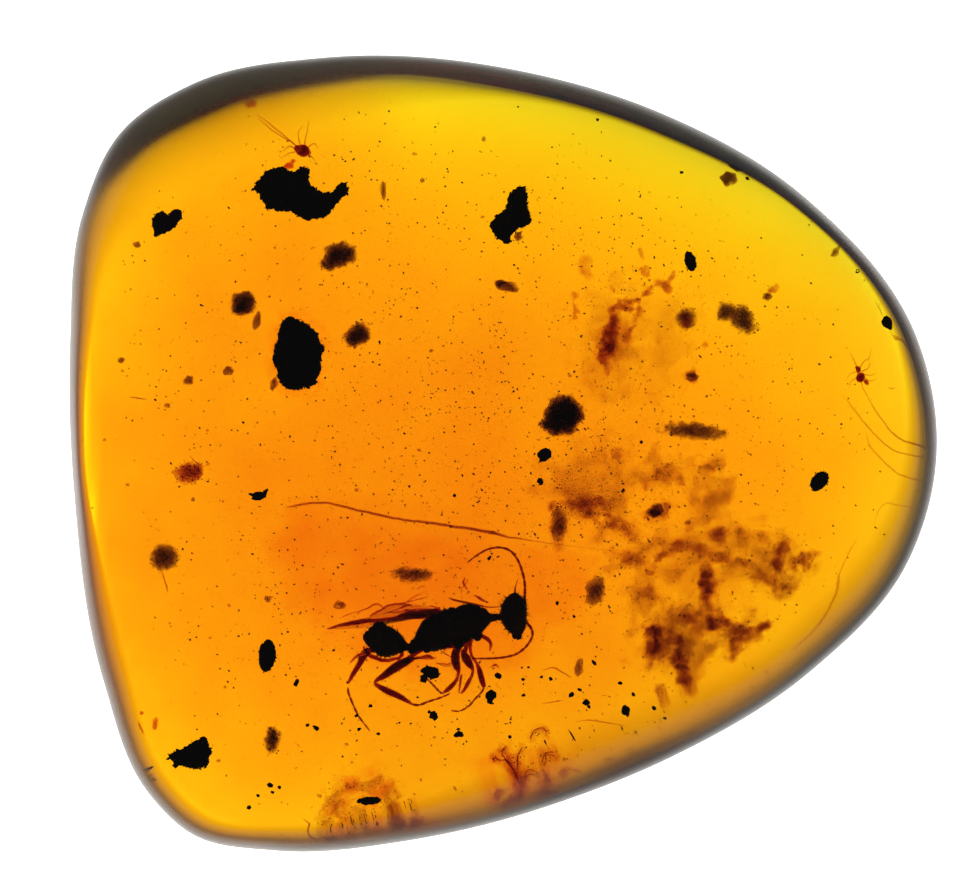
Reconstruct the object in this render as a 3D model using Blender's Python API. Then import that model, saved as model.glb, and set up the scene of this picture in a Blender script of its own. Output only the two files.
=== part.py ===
"""Insect in amber: a polished, lens-shaped piece of clear amber with a wasp sealed in it.

Besides the wasp, the resin holds two mites and a scatter of crumbs, clods, seeds and splinters.
The stone lies on the small flat of its belly. +X runs along its length towards the narrow nose,
+Y across it, and +Z up out of its face. The origin is under the middle of the outline, on the flat.

The resin itself is one piece. Here it is parted in two along a level plane, with a hairline gap,
so that each thing sealed in it can lie in a pocket that opens on the parting face.
"""
import math

import bmesh
import bpy
import numpy as np
from mathutils import Matrix, Vector, noise

MM = 0.001

# ---- Driving dimensions, in millimetres ----
BELLY = 2.8             # from the parting plane down to the flat of the belly
CROWN = 3.2             # from the parting plane up to the top of the dome
BELLY_FLAT = 0.50       # share of the outline's radius that the flat of the belly takes
PART_GAP = 0.3          # between the two halves
PIECE_GAP = 0.3         # between the resin and anything sealed in it
SAME = 1e-6             # shares closer than this are equal
AROUND = 72             # faces around the stone
EDGE_RINGS = 5          # rings of faces over each half's rounded edge
FACE_RINGS = 4          # rings of faces from there to the middle, the last one over the flat

# The outline as (degrees from +X, radius from the origin): a blunt nose on +X, two round corners
# at 140 and 228 degrees, and a nearly straight left side between them.
OUTLINE = [
    (0, 11.03), (15, 10.94), (40, 10.08), (65, 9.55), (90, 9.82), (115, 11.10), (130, 12.28),
    (140, 12.70), (150, 12.32), (165, 11.38), (185, 10.93), (210, 11.70), (224, 12.48),
    (231, 12.48), (240, 11.65), (255, 10.23), (275, 9.12), (300, 8.84), (325, 9.60), (345, 10.66),
]
# How the edge was ground, as (degrees from +X, how far the rounding reaches in).
ROUNDING = [
    (0, 0.95), (30, 0.6), (60, 0.75), (90, 1.0), (115, 1.9), (135, 2.6), (155, 1.2), (180, 0.6),
    (205, 1.1), (235, 1.25), (265, 2.1), (295, 2.4), (315, 1.4), (340, 1.45),
]
# Half the stone's thickness where that rounding ends, as (degrees from +X, height).
SHOULDER = [
    (0, 1.45), (50, 1.1), (90, 1.15), (140, 1.8), (180, 2.2), (230, 1.9), (270, 1.8),
    (295, 1.8), (340, 1.6),
]

# ---- What is sealed in the resin ----
# Places are (x, y, z) in millimetres, z counted from the parting plane. They are given as they look
# from straight above, where the dome magnifies what lies under it.
DOME_MAGNIFIES = 1.033
AMBER_COLOUR = (0.90, 0.42, 0.03)
BLACK_DIRT = (0.020, 0.010, 0.007)
BROWN_DIRT = (0.12, 0.045, 0.012)
RED_BROWN = (0.22, 0.05, 0.015)

# A crumb is one or more lumps grown together: (x, y, z, half length, half width, half depth,
# degrees that the length is turned from +X).
CRUMBS = {
    "crumb_tailed": (BLACK_DIRT, [
        (-6.00, 6.80, -0.60, 0.52, 0.34, 0.34, -20), (-5.42, 6.50, -0.62, 0.60, 0.40, 0.36, -25),
        (-4.88, 6.26, -0.58, 0.48, 0.28, 0.30, -10), (-4.35, 6.55, -0.52, 0.36, 0.16, 0.20, 55)]),
    "crumb_oval": (BLACK_DIRT, [(-5.24, 2.53, -0.75, 0.90, 0.64, 0.48, 88)]),
    "crumb_heart": (BLACK_DIRT, [
        (-8.82, 5.90, 0.50, 0.30, 0.22, 0.24, 40), (-8.52, 6.05, 0.50, 0.24, 0.16, 0.22, -60)]),
    "crumb_two_lobed": (BLACK_DIRT, [
        (-0.08, 5.72, 0.55, 0.37, 0.33, 0.30, 10), (0.29, 6.30, 0.55, 0.50, 0.26, 0.28, 80)]),
    "crumb_ragged": (BLACK_DIRT, [
        (-8.25, -7.80, -0.55, 0.36, 0.24, 0.28, -8), (-7.80, -7.66, -0.55, 0.30, 0.36, 0.26, 60)]),
    "clod_upper_left": (BROWN_DIRT, [(-4.27, 5.02, 1.15, 0.46, 0.34, 0.32, 12)]),
    "clod_left": (BROWN_DIRT, [(-6.69, 3.85, 1.15, 0.29, 0.26, 0.26, 0)]),
    "clod_middle": (BROWN_DIRT, [(-3.74, 3.01, -1.20, 0.28, 0.25, 0.24, 20)]),
    "clod_centre": (BROWN_DIRT, [(1.50, 0.95, 1.30, 0.60, 0.54, 0.42, 15)]),
    "clod_right": (BROWN_DIRT, [(5.95, 3.34, -1.15, 0.54, 0.34, 0.32, -14)]),
    "clod_right_small": (BROWN_DIRT, [(4.60, 3.29, -1.30, 0.25, 0.22, 0.22, 0)]),
    "clod_low_left": (BROWN_DIRT, [(-8.72, -2.66, 1.05, 0.32, 0.30, 0.26, 0)]),
    "shred_red": (RED_BROWN, [
        (2.66, 2.62, -1.20, 0.52, 0.24, 0.24, 66), (2.90, 3.10, -1.15, 0.26, 0.16, 0.18, 60)]),
    "splinter_right": (BROWN_DIRT, [(4.88, 0.57, 1.20, 0.74, 0.17, 0.18, -5)]),
    "splinter_over_wasp": (BROWN_DIRT, [(-2.37, -3.09, 1.85, 0.48, 0.16, 0.16, -3)]),
    "splinter_low": (BLACK_DIRT, [(-3.48, -8.90, 0.40, 0.32, 0.11, 0.11, 0)]),
    "seed_left": (BLACK_DIRT, [(-6.05, -5.20, -0.45, 0.40, 0.22, 0.22, 84)]),
    "seed_right": (BLACK_DIRT, [(8.09, -0.70, 0.42, 0.27, 0.19, 0.20, 48)]),
    "pellet_right": (BLACK_DIRT, [(4.78, 4.85, 0.40, 0.25, 0.14, 0.15, 75)]),
    "crumb_two_tone": (RED_BROWN, [(-8.04, -0.50, 0.45, 0.36, 0.22, 0.22, 4)]),
    "chip_low_left": (BROWN_DIRT, [(-5.98, -7.34, 0.45, 0.27, 0.21, 0.20, 70)]),
    "chip_low_centre": (BROWN_DIRT, [(2.31, -3.42, -1.10, 0.33, 0.22, 0.22, 80)]),
    "chip_centre": (BROWN_DIRT, [(1.40, -1.74, -1.20, 0.32, 0.18, 0.18, 82)]),
    "crumb_under_wasp": (BLACK_DIRT, [(-1.96, -5.56, -0.85, 0.26, 0.17, 0.16, -15)]),
}
CRUMBS_IN_WASP_POCKET = ("crumb_under_wasp",)
CRUMB_ROUGHNESS = 0.16      # how far a lump's surface strays, as a share of its radius
LUMP_FACETS = 2             # icosphere subdivisions of a lump
LUMP_CORNERS = 1.08         # how far a lump's corners stand out, so that its flats average its size
OCTAGON = 1.12              # how far a well's eight corners stand out, for the room at its flats

# The wasp, seen from its side: head towards +X, wings folded back over the gaster.
WASP_COLOUR = (0.05, 0.016, 0.010)
WASP_POCKET = ((-1.83, -4.72, 0.0), (3.35, 3.15, 1.40))
# Rounded body masses: (x, y, z, half length, half height, half depth, degrees turned from +X).
WASP_BODY = {
    "head": (0.22, -4.06, 0.0, 0.53, 0.35, 0.42, 84),
    "prothorax": (-0.75, -4.22, 0.0, 0.42, 0.34, 0.34, 24),
    "mesothorax": (-1.22, -4.38, 0.0, 0.62, 0.45, 0.42, 22),
    "propodeum": (-1.80, -4.62, 0.0, 0.56, 0.40, 0.38, 30),
    "gaster": (-3.09, -4.73, 0.0, 0.58, 0.43, 0.40, -14),
}
WING_OUTLINE = [
    (-1.35, -4.40), (-1.50, -3.96), (-1.96, -3.68), (-2.50, -3.76), (-3.04, -3.93),
    (-3.71, -4.13), (-4.20, -4.33), (-4.42, -4.47), (-4.05, -4.46), (-3.48, -4.36),
    (-2.92, -4.30), (-2.10, -4.30),
]
WING_THICKNESS = 0.06
WING_Z = 0.20               # each wing's distance from the middle of the wasp
# Tubes: a list of (x, y, z, radius).
WASP_TUBES = {
    "neck": [(0.05, -4.10, 0, 0.11), (-0.35, -4.14, 0, 0.11), (-0.70, -4.20, 0, 0.16)],
    "petiole": [(-2.10, -4.85, 0, 0.13), (-2.52, -5.00, 0, 0.08), (-2.85, -4.88, 0, 0.12)],
    "antenna_near": [
        (0.36, -3.85, 0.20, 0.05), (0.54, -3.55, 0.30, 0.045), (0.52, -3.20, 0.36, 0.042),
        (0.44, -2.88, 0.38, 0.042), (0.31, -2.62, 0.38, 0.040), (0.11, -2.45, 0.36, 0.038),
        (-0.15, -2.38, 0.32, 0.036), (-0.46, -2.44, 0.28, 0.034), (-0.72, -2.58, 0.24, 0.032),
        (-0.97, -2.78, 0.20, 0.028)],
    "antenna_far": [
        (0.36, -4.20, -0.18, 0.05), (0.58, -4.32, -0.28, 0.045), (0.71, -4.46, -0.34, 0.042),
        (0.66, -4.70, -0.40, 0.042), (0.50, -4.93, -0.44, 0.040), (0.22, -5.08, -0.46, 0.038),
        (-0.15, -5.17, -0.48, 0.036), (-0.54, -5.18, -0.48, 0.034), (-0.88, -5.16, -0.46, 0.028)],
    "foreleg_near": [
        (-0.68, -4.40, 0.22, 0.11), (-0.69, -5.05, 0.42, 0.10), (-0.66, -5.45, 0.46, 0.09),
        (-0.56, -5.92, 0.46, 0.06), (-0.84, -6.28, 0.42, 0.045), (-1.14, -6.50, 0.38, 0.04),
        (-1.44, -6.46, 0.34, 0.03)],
    "foreleg_far": [
        (-0.66, -4.45, -0.22, 0.09), (-0.42, -4.82, -0.42, 0.07), (-0.30, -5.02, -0.50, 0.045)],
    "midleg_near": [
        (-1.15, -4.62, 0.24, 0.13), (-1.20, -5.10, 0.46, 0.12), (-1.23, -5.56, 0.52, 0.09),
        (-1.56, -6.08, 0.46, 0.06), (-1.86, -5.94, 0.40, 0.045), (-2.18, -5.66, 0.36, 0.03)],
    "midleg_far": [
        (-1.00, -4.60, -0.24, 0.11), (-0.88, -5.10, -0.46, 0.10), (-0.80, -5.48, -0.50, 0.08),
        (-0.98, -5.80, -0.50, 0.05), (-1.12, -6.08, -0.46, 0.035)],
    "hindleg_near": [
        (-2.05, -4.72, 0.20, 0.12), (-2.45, -5.10, 0.42, 0.12), (-2.78, -5.43, 0.50, 0.12),
        (-3.30, -5.82, 0.52, 0.08), (-3.02, -6.08, 0.50, 0.075), (-2.40, -6.36, 0.44, 0.06),
        (-1.96, -6.28, 0.40, 0.04), (-1.50, -6.16, 0.36, 0.03)],
    "hindleg_far": [
        (-2.10, -4.78, -0.20, 0.11), (-2.90, -4.98, -0.52, 0.10), (-3.50, -5.02, -0.54, 0.10),
        (-3.86, -5.38, -0.52, 0.09), (-4.03, -5.78, -0.48, 0.06), (-3.90, -6.24, -0.44, 0.04),
        (-3.48, -7.04, -0.40, 0.03)],
}

# Mites: body as a rounded mass, and thread legs that start inside it.
MITE_COLOUR = (0.30, 0.07, 0.015)
MITES = {
    "mite_upper": ((-5.24, 7.55, -0.42, 0.22, 0.17, 0.15, -20), [
        (-1.05, 0.90, 0.05), (0.12, 0.80, 0.04), (-0.62, -0.02, 0.05), (-0.45, 0.55, -0.03),
        (-0.30, -0.40, 0.00), (0.30, -0.32, 0.03)]),
    "mite_right": ((9.05, 1.95, 0.30, 0.25, 0.14, 0.13, 65), [
        (-0.45, 0.30, 0.02), (0.30, 0.42, 0.03), (-0.40, -0.05, -0.02), (0.34, 0.05, 0.03),
        (-0.22, -0.42, 0.00), (0.26, -0.36, 0.02)]),
}
MITE_LEG_RADIUS = 0.028
WELD = 0.0001               # a tube's caps join its wall where their points are this close


def clear_scene():
    for thing in list(bpy.data.objects):
        bpy.data.objects.remove(thing, do_unlink=True)


def new_collection(name):
    group = bpy.data.collections.new(name)
    bpy.context.scene.collection.children.link(group)
    return group


def material(name, colour, roughness=0.5, transmission=0.0):
    made = bpy.data.materials.new(name)
    made.use_nodes = True
    shader = made.node_tree.nodes["Principled BSDF"]
    shader.inputs["Base Color"].default_value = (*colour, 1.0)
    shader.inputs["Roughness"].default_value = roughness
    shader.inputs["Metallic"].default_value = 0.0
    shader.inputs["Transmission Weight"].default_value = transmission
    return made


def closed_curve_value(points, degrees):
    """Smooth value at an angle, through (angle, value) points that close on themselves."""
    angles = np.array([p[0] for p in points[-2:]], float) - 360.0
    angles = np.concatenate([angles, [p[0] for p in points], [p[0] + 360.0 for p in points[:3]]])
    values = np.array([p[1] for p in points[-2:] + points + points[:3]], float)
    step = np.diff(angles)
    slope = np.diff(values) / step
    tangent = np.zeros(len(angles))
    tangent[1:-1] = (slope[:-1] * step[1:] + slope[1:] * step[:-1]) / (step[1:] + step[:-1])
    degrees = degrees % 360.0
    i = int(np.searchsorted(angles, degrees, side="right")) - 1
    t = (degrees - angles[i]) / step[i]
    return ((2 * t**3 - 3 * t**2 + 1) * values[i] + (t**3 - 2 * t**2 + t) * step[i] * tangent[i]
            + (3 * t**2 - 2 * t**3) * values[i + 1] + (t**3 - t**2) * step[i] * tangent[i + 1])


def face_reach(across, widest, radius, crown_side):
    """How far out a face ring is: evenly spaced on the crown, with one on the belly flat's edge."""
    flat_ring = (FACE_RINGS - 1) / FACE_RINGS
    flat_reach = BELLY_FLAT * radius
    if crown_side:
        return widest * (1 - across)
    if across < flat_ring:
        return widest - (widest - flat_reach) * across / flat_ring
    return flat_reach * (1 - across) / (1 - flat_ring)


def stone_point(degrees, latitude):
    """A point on the stone: latitude runs from -90 (middle of the belly) to 90 (top of the dome)."""
    radius = closed_curve_value(OUTLINE, degrees)
    rounding = closed_curve_value(ROUNDING, degrees)
    shoulder = closed_curve_value(SHOULDER, degrees)
    edge_share = EDGE_RINGS / (EDGE_RINGS + FACE_RINGS)
    along = abs(latitude) / 90.0
    if along < edge_share:
        turn = along / edge_share * math.pi / 2
        reach = radius - rounding * (1 - math.cos(turn))
        lift = math.sin(turn)
    else:
        across = (along - edge_share) / (1 - edge_share)
        reach = face_reach(across, radius - rounding, radius, latitude > 0)
        lift = 1.0
    inward = reach / radius
    if latitude > 0:
        height = lift * (shoulder + (CROWN - shoulder) * (1 - inward**2))
    else:
        bend = max(0.0, (inward - BELLY_FLAT - SAME) / (1 - BELLY_FLAT))
        height = -lift * (shoulder + (BELLY - shoulder) * (1 - bend**2))
    turned = math.radians(degrees)
    return Vector((reach * math.cos(turned), reach * math.sin(turned), BELLY + height)) * MM


def stone_half(name, collection, upper):
    """One half of the stone: a UV sphere shaped to the stone, cut off level at the parting face."""
    shape = bmesh.new()
    rings = 2 * (EDGE_RINGS + FACE_RINGS)
    bmesh.ops.create_uvsphere(shape, u_segments=AROUND, v_segments=rings, radius=1.0)
    for v in shape.verts:
        degrees = math.degrees(math.atan2(v.co.y, v.co.x))
        latitude = math.degrees(math.asin(max(-1.0, min(1.0, v.co.z))))
        v.co = stone_point(degrees, latitude)
    side = 1 if upper else -1
    level = (BELLY + side * PART_GAP / 2) * MM
    cut = bmesh.ops.bisect_plane(
        shape, geom=shape.verts[:] + shape.edges[:] + shape.faces[:], dist=1e-8,
        plane_co=(0, 0, level), plane_no=(0, 0, side), clear_inner=True)
    rim = [e for e in cut["geom_cut"] if isinstance(e, bmesh.types.BMEdge)]
    bmesh.ops.contextual_create(shape, geom=rim)
    bmesh.ops.recalc_face_normals(shape, faces=shape.faces[:])
    return object_from(shape, name, collection)


def object_from(shape, name, collection):
    mesh = bpy.data.meshes.new(name)
    shape.to_mesh(mesh)
    shape.free()
    made = bpy.data.objects.new(name, mesh)
    collection.objects.link(made)
    return made


def mark_as_cutter(thing):
    thing.hide_render = True
    thing.display_type = "WIRE"


def sealed_frame():
    """From millimetres as seen through the dome, over the parting plane, to true metres."""
    shrink = Matrix.Diagonal((1 / DOME_MAGNIFIES, 1 / DOME_MAGNIFIES, 1.0, 1.0))
    return Matrix.Scale(MM, 4) @ Matrix.Translation((0, 0, BELLY)) @ shrink


def placed(lump):
    """The matrix that turns a unit ball into a rounded mass given in millimetres."""
    x, y, z, length, width, depth, degrees = lump
    size = Matrix.Diagonal((length, width, depth, 1.0))
    turn = Matrix.Rotation(math.radians(degrees), 4, "Z")
    return sealed_frame() @ Matrix.Translation((x, y, z)) @ turn @ size


def lump_object(name, collection, lump, seed):
    """A rough lump of dirt: an icosphere whose points stray in and out."""
    shape = bmesh.new()
    bmesh.ops.create_icosphere(shape, subdivisions=LUMP_FACETS, radius=1.0)
    for v in shape.verts:
        v.co *= LUMP_CORNERS + CRUMB_ROUGHNESS * noise.noise(v.co * 1.7 + Vector((seed, 0.37 * seed, 0)))
    bmesh.ops.transform(shape, matrix=placed(lump), verts=shape.verts)
    return object_from(shape, name, collection)


def rounded_mass(name, collection, lump, around=16, rings=10):
    """A smooth body mass: a UV sphere with its poles at the two ends of its length."""
    shape = bmesh.new()
    bmesh.ops.create_uvsphere(shape, u_segments=around, v_segments=rings, radius=1.0)
    poles_along_length = Matrix.Rotation(math.pi / 2, 4, "Y")
    bmesh.ops.transform(shape, matrix=placed(lump) @ poles_along_length, verts=shape.verts)
    made = object_from(shape, name, collection)
    made.data.shade_smooth()
    return made


def tube(name, collection, points, resolution=2):
    """A tapering tube through (x, y, z, radius) points, made a closed mesh."""
    curve = bpy.data.curves.new(name, "CURVE")
    curve.dimensions = "3D"
    curve.bevel_depth = 1.0
    curve.bevel_resolution = resolution
    curve.use_fill_caps = True
    spline = curve.splines.new("POLY")
    spline.points.add(len(points) - 1)
    for knot, (x, y, z, radius) in zip(spline.points, points):
        knot.co = (x, y, z, 1.0)
        knot.radius = radius
    guide = bpy.data.objects.new(name + "_guide", curve)
    collection.objects.link(guide)
    guide.matrix_world = sealed_frame()
    return curve_to_mesh(guide, name, collection)


def curve_to_mesh(guide, name, collection):
    bpy.context.view_layer.update()
    depsgraph = bpy.context.evaluated_depsgraph_get()
    mesh = bpy.data.meshes.new_from_object(guide.evaluated_get(depsgraph))
    shape = bmesh.new()
    shape.from_mesh(mesh)
    bmesh.ops.remove_doubles(shape, verts=shape.verts, dist=WELD)
    bmesh.ops.recalc_face_normals(shape, faces=shape.faces[:])
    made = object_from(shape, name, collection)
    made.matrix_world = guide.matrix_world
    bpy.data.objects.remove(guide, do_unlink=True)
    return made


def wing(name, collection, z):
    """A folded wing: the flat outline with half its thickness to each side."""
    curve = bpy.data.curves.new(name, "CURVE")
    curve.dimensions = "2D"
    curve.fill_mode = "BOTH"
    curve.extrude = WING_THICKNESS / 2
    spline = curve.splines.new("POLY")
    spline.points.add(len(WING_OUTLINE) - 1)
    for knot, (x, y) in zip(spline.points, WING_OUTLINE):
        knot.co = (x, y, 0.0, 1.0)
    spline.use_cyclic_u = True
    guide = bpy.data.objects.new(name + "_guide", curve)
    collection.objects.link(guide)
    guide.matrix_world = sealed_frame() @ Matrix.Translation((0, 0, z))
    return curve_to_mesh(guide, name, collection)


def join_all(base, others):
    """Join every object of a collection to the base as one solid."""
    union = base.modifiers.new("joined", "BOOLEAN")
    union.operation = "UNION"
    union.operand_type = "COLLECTION"
    union.collection = others
    union.solver = "EXACT"


def make_crumb(name, collection, colour, lumps, seed):
    crumb = lump_object(name, collection, lumps[0], seed)
    crumb.data.materials.append(material(name, colour, roughness=0.9))
    if len(lumps) > 1:
        others = new_collection(name + "_lumps")
        for k, lump in enumerate(lumps[1:], 1):
            mark_as_cutter(lump_object(f"{name}_lump_{k}", others, lump, seed + 10 * k))
        join_all(crumb, others)
    return crumb


def make_wasp(collection):
    chitin = material("wasp", WASP_COLOUR, roughness=0.35)
    masses = dict(WASP_BODY)
    wasp = rounded_mass("wasp", collection, masses.pop("mesothorax"))
    wasp.data.materials.append(chitin)
    others = new_collection("wasp_parts")
    for name, lump in masses.items():
        mark_as_cutter(rounded_mass(name, others, lump))
    for name, points in WASP_TUBES.items():
        mark_as_cutter(tube(name, others, points))
    mark_as_cutter(wing("wing_near", others, WING_Z))
    mark_as_cutter(wing("wing_far", others, -WING_Z))
    join_all(wasp, others)
    return wasp


def make_mite(name, collection, body, feet):
    mite = rounded_mass(name, collection, body, around=10, rings=6)
    mite.data.materials.append(material(name, MITE_COLOUR, roughness=0.6))
    others = new_collection(name + "_legs")
    x, y, z = body[:3]
    for k, (dx, dy, dz) in enumerate(feet):
        knee = (x + 0.5 * dx, y + 0.5 * dy, z + 0.5 * dz + 0.06)
        leg = [(x + 0.05 * dx, y + 0.05 * dy, z), knee, (x + dx, y + dy, z + dz)]
        leg = [(*point, MITE_LEG_RADIUS) for point in leg]
        mark_as_cutter(tube(f"{name}_leg_{k}", others, leg, resolution=0))
    join_all(mite, others)
    return mite


def pocket_for(name, collection, lump):
    """An eight-sided well from beyond the parting face to just past a lump."""
    x, y, z, length, width, depth, degrees = lump
    side = 1 if z > 0 else -1
    start = -side * PART_GAP
    end = z + side * (depth + PIECE_GAP)
    grow = PIECE_GAP + (LUMP_CORNERS - 1 + CRUMB_ROUGHNESS / 2) * max(length, width)
    room = (x, y, (start + end) / 2, (length + grow) * OCTAGON, (width + grow) * OCTAGON,
            abs(end - start), degrees)
    shape = bmesh.new()
    bmesh.ops.create_cone(
        shape, cap_ends=True, segments=8, radius1=1.0, radius2=1.0, depth=1.0)
    bmesh.ops.transform(shape, matrix=placed(room), verts=shape.verts)
    cutter = object_from(shape, name, collection)
    mark_as_cutter(cutter)
    return cutter


def make_pockets(upper_cutters, lower_cutters):
    (x, y, z), (length, width, depth) = WASP_POCKET
    wasp_room = (x, y, z, length, width, depth, 0)
    for half, cutters in (("upper", upper_cutters), ("lower", lower_cutters)):
        mark_as_cutter(rounded_mass("wasp_pocket_" + half, cutters, wasp_room, around=24, rings=12))
    for name, (_, lumps) in CRUMBS.items():
        if name in CRUMBS_IN_WASP_POCKET:
            continue
        for k, lump in enumerate(lumps):
            cutters = upper_cutters if lump[2] > 0 else lower_cutters
            pocket_for(f"{name}_pocket_{k}", cutters, lump)
    for name, (body, feet) in MITES.items():
        x, y, z, length, width, depth, _ = body
        reach_x = max(abs(foot[0]) for foot in feet)
        reach_y = max(abs(foot[1]) for foot in feet)
        cutters = upper_cutters if z > 0 else lower_cutters
        pocket_for(name + "_pocket", cutters, (x, y, z, reach_x, reach_y, depth, 0))


def cut_pockets(half, cutters):
    cut = half.modifiers.new("pockets", "BOOLEAN")
    cut.operation = "DIFFERENCE"
    cut.operand_type = "COLLECTION"
    cut.collection = cutters
    cut.solver = "EXACT"


def main():
    clear_scene()
    parts = new_collection("insect_in_amber")
    upper_cutters = new_collection("pockets_upper")
    lower_cutters = new_collection("pockets_lower")
    make_pockets(upper_cutters, lower_cutters)
    resin = material("amber", AMBER_COLOUR, roughness=0.05, transmission=1.0)
    for name, upper, cutters in (
            ("amber_upper", True, upper_cutters), ("amber_lower", False, lower_cutters)):
        half = stone_half(name, parts, upper)
        half.data.materials.append(resin)
        cut_pockets(half, cutters)
    make_wasp(parts)
    for seed, (name, (colour, lumps)) in enumerate(CRUMBS.items(), 1):
        make_crumb(name, parts, colour, lumps, seed)
    for name, (body, feet) in MITES.items():
        make_mite(name, parts, body, feet)


main()
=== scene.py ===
# %% [markdown]
# # An insect in amber
#
# A drop of fossil resin, cut and polished to a low dome 22 mm long. It lies on its flat
# belly on a light table, so the light comes up through it and everything that sank into
# the resin shows dark against yellow and orange: a wasp 5 mm long, two mites, crumbs of
# bark and soil, loose fluff and dust. The lesson makes the clear stone first, because
# every other piece is seen through it, and then what is sealed in it, from the wasp down
# to the dust. All sizes are in millimetres until a mesh is written, in metres.

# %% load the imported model
import math
import random

import bmesh
import bpy
import numpy as np
from mathutils import Matrix, Vector, noise


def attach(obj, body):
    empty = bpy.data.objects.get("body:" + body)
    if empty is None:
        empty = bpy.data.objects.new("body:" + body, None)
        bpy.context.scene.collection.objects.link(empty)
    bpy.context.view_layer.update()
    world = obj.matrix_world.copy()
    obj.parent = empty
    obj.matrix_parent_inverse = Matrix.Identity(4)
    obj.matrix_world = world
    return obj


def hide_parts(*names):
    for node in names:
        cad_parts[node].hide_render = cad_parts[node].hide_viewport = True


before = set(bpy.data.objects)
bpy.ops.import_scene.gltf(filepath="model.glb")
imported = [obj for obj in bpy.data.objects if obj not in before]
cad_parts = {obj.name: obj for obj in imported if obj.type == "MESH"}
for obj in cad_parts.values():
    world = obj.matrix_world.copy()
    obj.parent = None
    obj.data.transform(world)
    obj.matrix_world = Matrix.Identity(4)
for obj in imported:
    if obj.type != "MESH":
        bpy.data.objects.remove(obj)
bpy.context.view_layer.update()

MM = 0.001

# %% [markdown]
# ## Where things are inside the resin
# The dome works as a weak magnifying glass: seen from straight above, everything inside
# looks a little further from the middle than it is. Places are written as they are seen,
# in millimetres from the middle of the stone, and one function brings them to where they
# really lie. Heights count from the girdle, the plane where the stone is widest.

# %% places
GIRDLE = 2.8                # height of the widest plane above the belly
CROWN = 3.2                 # the dome's height above that plane
DOME_MAGNIFIES = 1.033      # how much further out things look through the dome


def inside(x, y, z=0.0):
    """The real place, in metres, of what is seen at x, y and lies z above the girdle, in mm."""
    return Vector((x / DOME_MAGNIFIES, y / DOME_MAGNIFIES, GIRDLE + z)) * MM


# %% [markdown]
# ## Three small helpers
# A colour is written as people write it, in sRGB hex, and turned to the linear values
# that a shader needs. Every node, in a material or in Geometry Nodes, is added by the
# same function: its settings by name, and its inputs as values or as links.

# %% colours and nodes
def colour(code):
    """Linear RGBA from an sRGB hex code."""
    parts = [int(code[i:i + 2], 16) / 255 for i in (0, 2, 4)]
    return (*[p / 12.92 if p <= 0.04045 else ((p + 0.055) / 1.055) ** 2.4 for p in parts], 1.0)


def add_node(tree, kind, inputs=None, **settings):
    """A node of that kind, with its settings, and with inputs set to a value or linked."""
    node = tree.nodes.new(kind)
    for name, value in settings.items():
        setattr(node, name, value)
    for name, value in (inputs or {}).items():
        if isinstance(name, int):
            socket = node.inputs[name]
        else:
            socket = next(s for s in node.inputs if s.name == name and s.enabled)
        if isinstance(value, bpy.types.Node):
            value = next(s for s in value.outputs if s.enabled)
        if isinstance(value, bpy.types.NodeSocket):
            tree.links.new(value, socket)
        else:
            socket.default_value = value
    return node


def principled(name, **sockets):
    """A material with one Principled shader, its sockets set, and the tree to add to."""
    material = bpy.data.materials.new(name)
    material.use_nodes = True
    tree = material.node_tree
    shader = tree.nodes["Principled BSDF"]
    for label, value in sockets.items():
        shader.inputs[label.replace("_", " ")].default_value = value
    return material, tree, shader


# %% [markdown]
# ## The stage
# The stone lies on a pale table with a wide soft lamp under it. The lamp shines upwards
# in a cone: rays that leave the stone's belly at a steep slant find no light, and that
# is what draws the dark rim round the polished edge. The table also glows faintly to every
# side, and the room is bright low down, which lights the stone for views from the side.
# The camera looks straight down with a long lens.

# %% table, lamps and camera
SEEN_CENTRE = (-0.331, 0.178)   # middle of the view, in mm from the middle of the stone
SEEN_WIDTH = 24.925             # width of the view at the girdle, in mm
LENS = 200.0                    # long enough to see the stone from nearly straight above
SENSOR = 36.0
TABLE_SIZE = 600.0
FLOOR_BELOW = 0.06              # the table lies this far under the belly, and the lamp half of it
TABLE_GLOW = 0.33               # what the milky sheet sends to every side
TABLE_CLOUDS = 40.0             # width of the faint unevenness in the sheet, in mm
LAMP_SIZE = 150.0
LAMP_CONE = 100.0               # full angle of the lamp's cone, in degrees
LAMP_RADIANCE = 0.50
LAMP_AIM = (0, 0, 10)           # straight up
HORIZON_LIGHT = 0.35            # the room is bright low down
OVERHEAD_LIGHT = 0.06           # and dark overhead
HORIZON_UP_TO = 0.30            # sine of the elevation where the bright band has faded


def table_material():
    """Matt acrylic, the milky sheet on a light table: even, pale, a faint unevenness."""
    material, tree, shader = principled("matt_acrylic_table", Roughness=0.6, IOR=1.49,
                                        Emission_Strength=TABLE_GLOW)
    shader.inputs["Emission Color"].default_value = colour("FFFFFF")
    place = add_node(tree, "ShaderNodeTexCoord")
    cloud = add_node(tree, "ShaderNodeTexNoise", {
        "Vector": place.outputs["Object"], "Scale": 1 / (TABLE_CLOUDS * MM)})
    shade = add_node(tree, "ShaderNodeMix", {
        "Factor": cloud.outputs["Fac"], "A": colour("EEEEEC"), "B": colour("F4F4F3")},
        data_type="RGBA")
    tree.links.new(shade.outputs["Result"], shader.inputs["Base Color"])
    return material


def flat_square(name, size, height):
    """A square sheet, facing up, at that height in mm."""
    half = size / 2 * MM
    mesh = bpy.data.meshes.new(name)
    corners = [(-half, -half), (half, -half), (half, half), (-half, half)]
    mesh.from_pydata([(x, y, height * MM) for x, y in corners], [], [(0, 1, 2, 3)])
    sheet = bpy.data.objects.new(name, mesh)
    bpy.context.scene.collection.objects.link(sheet)
    return sheet


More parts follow.
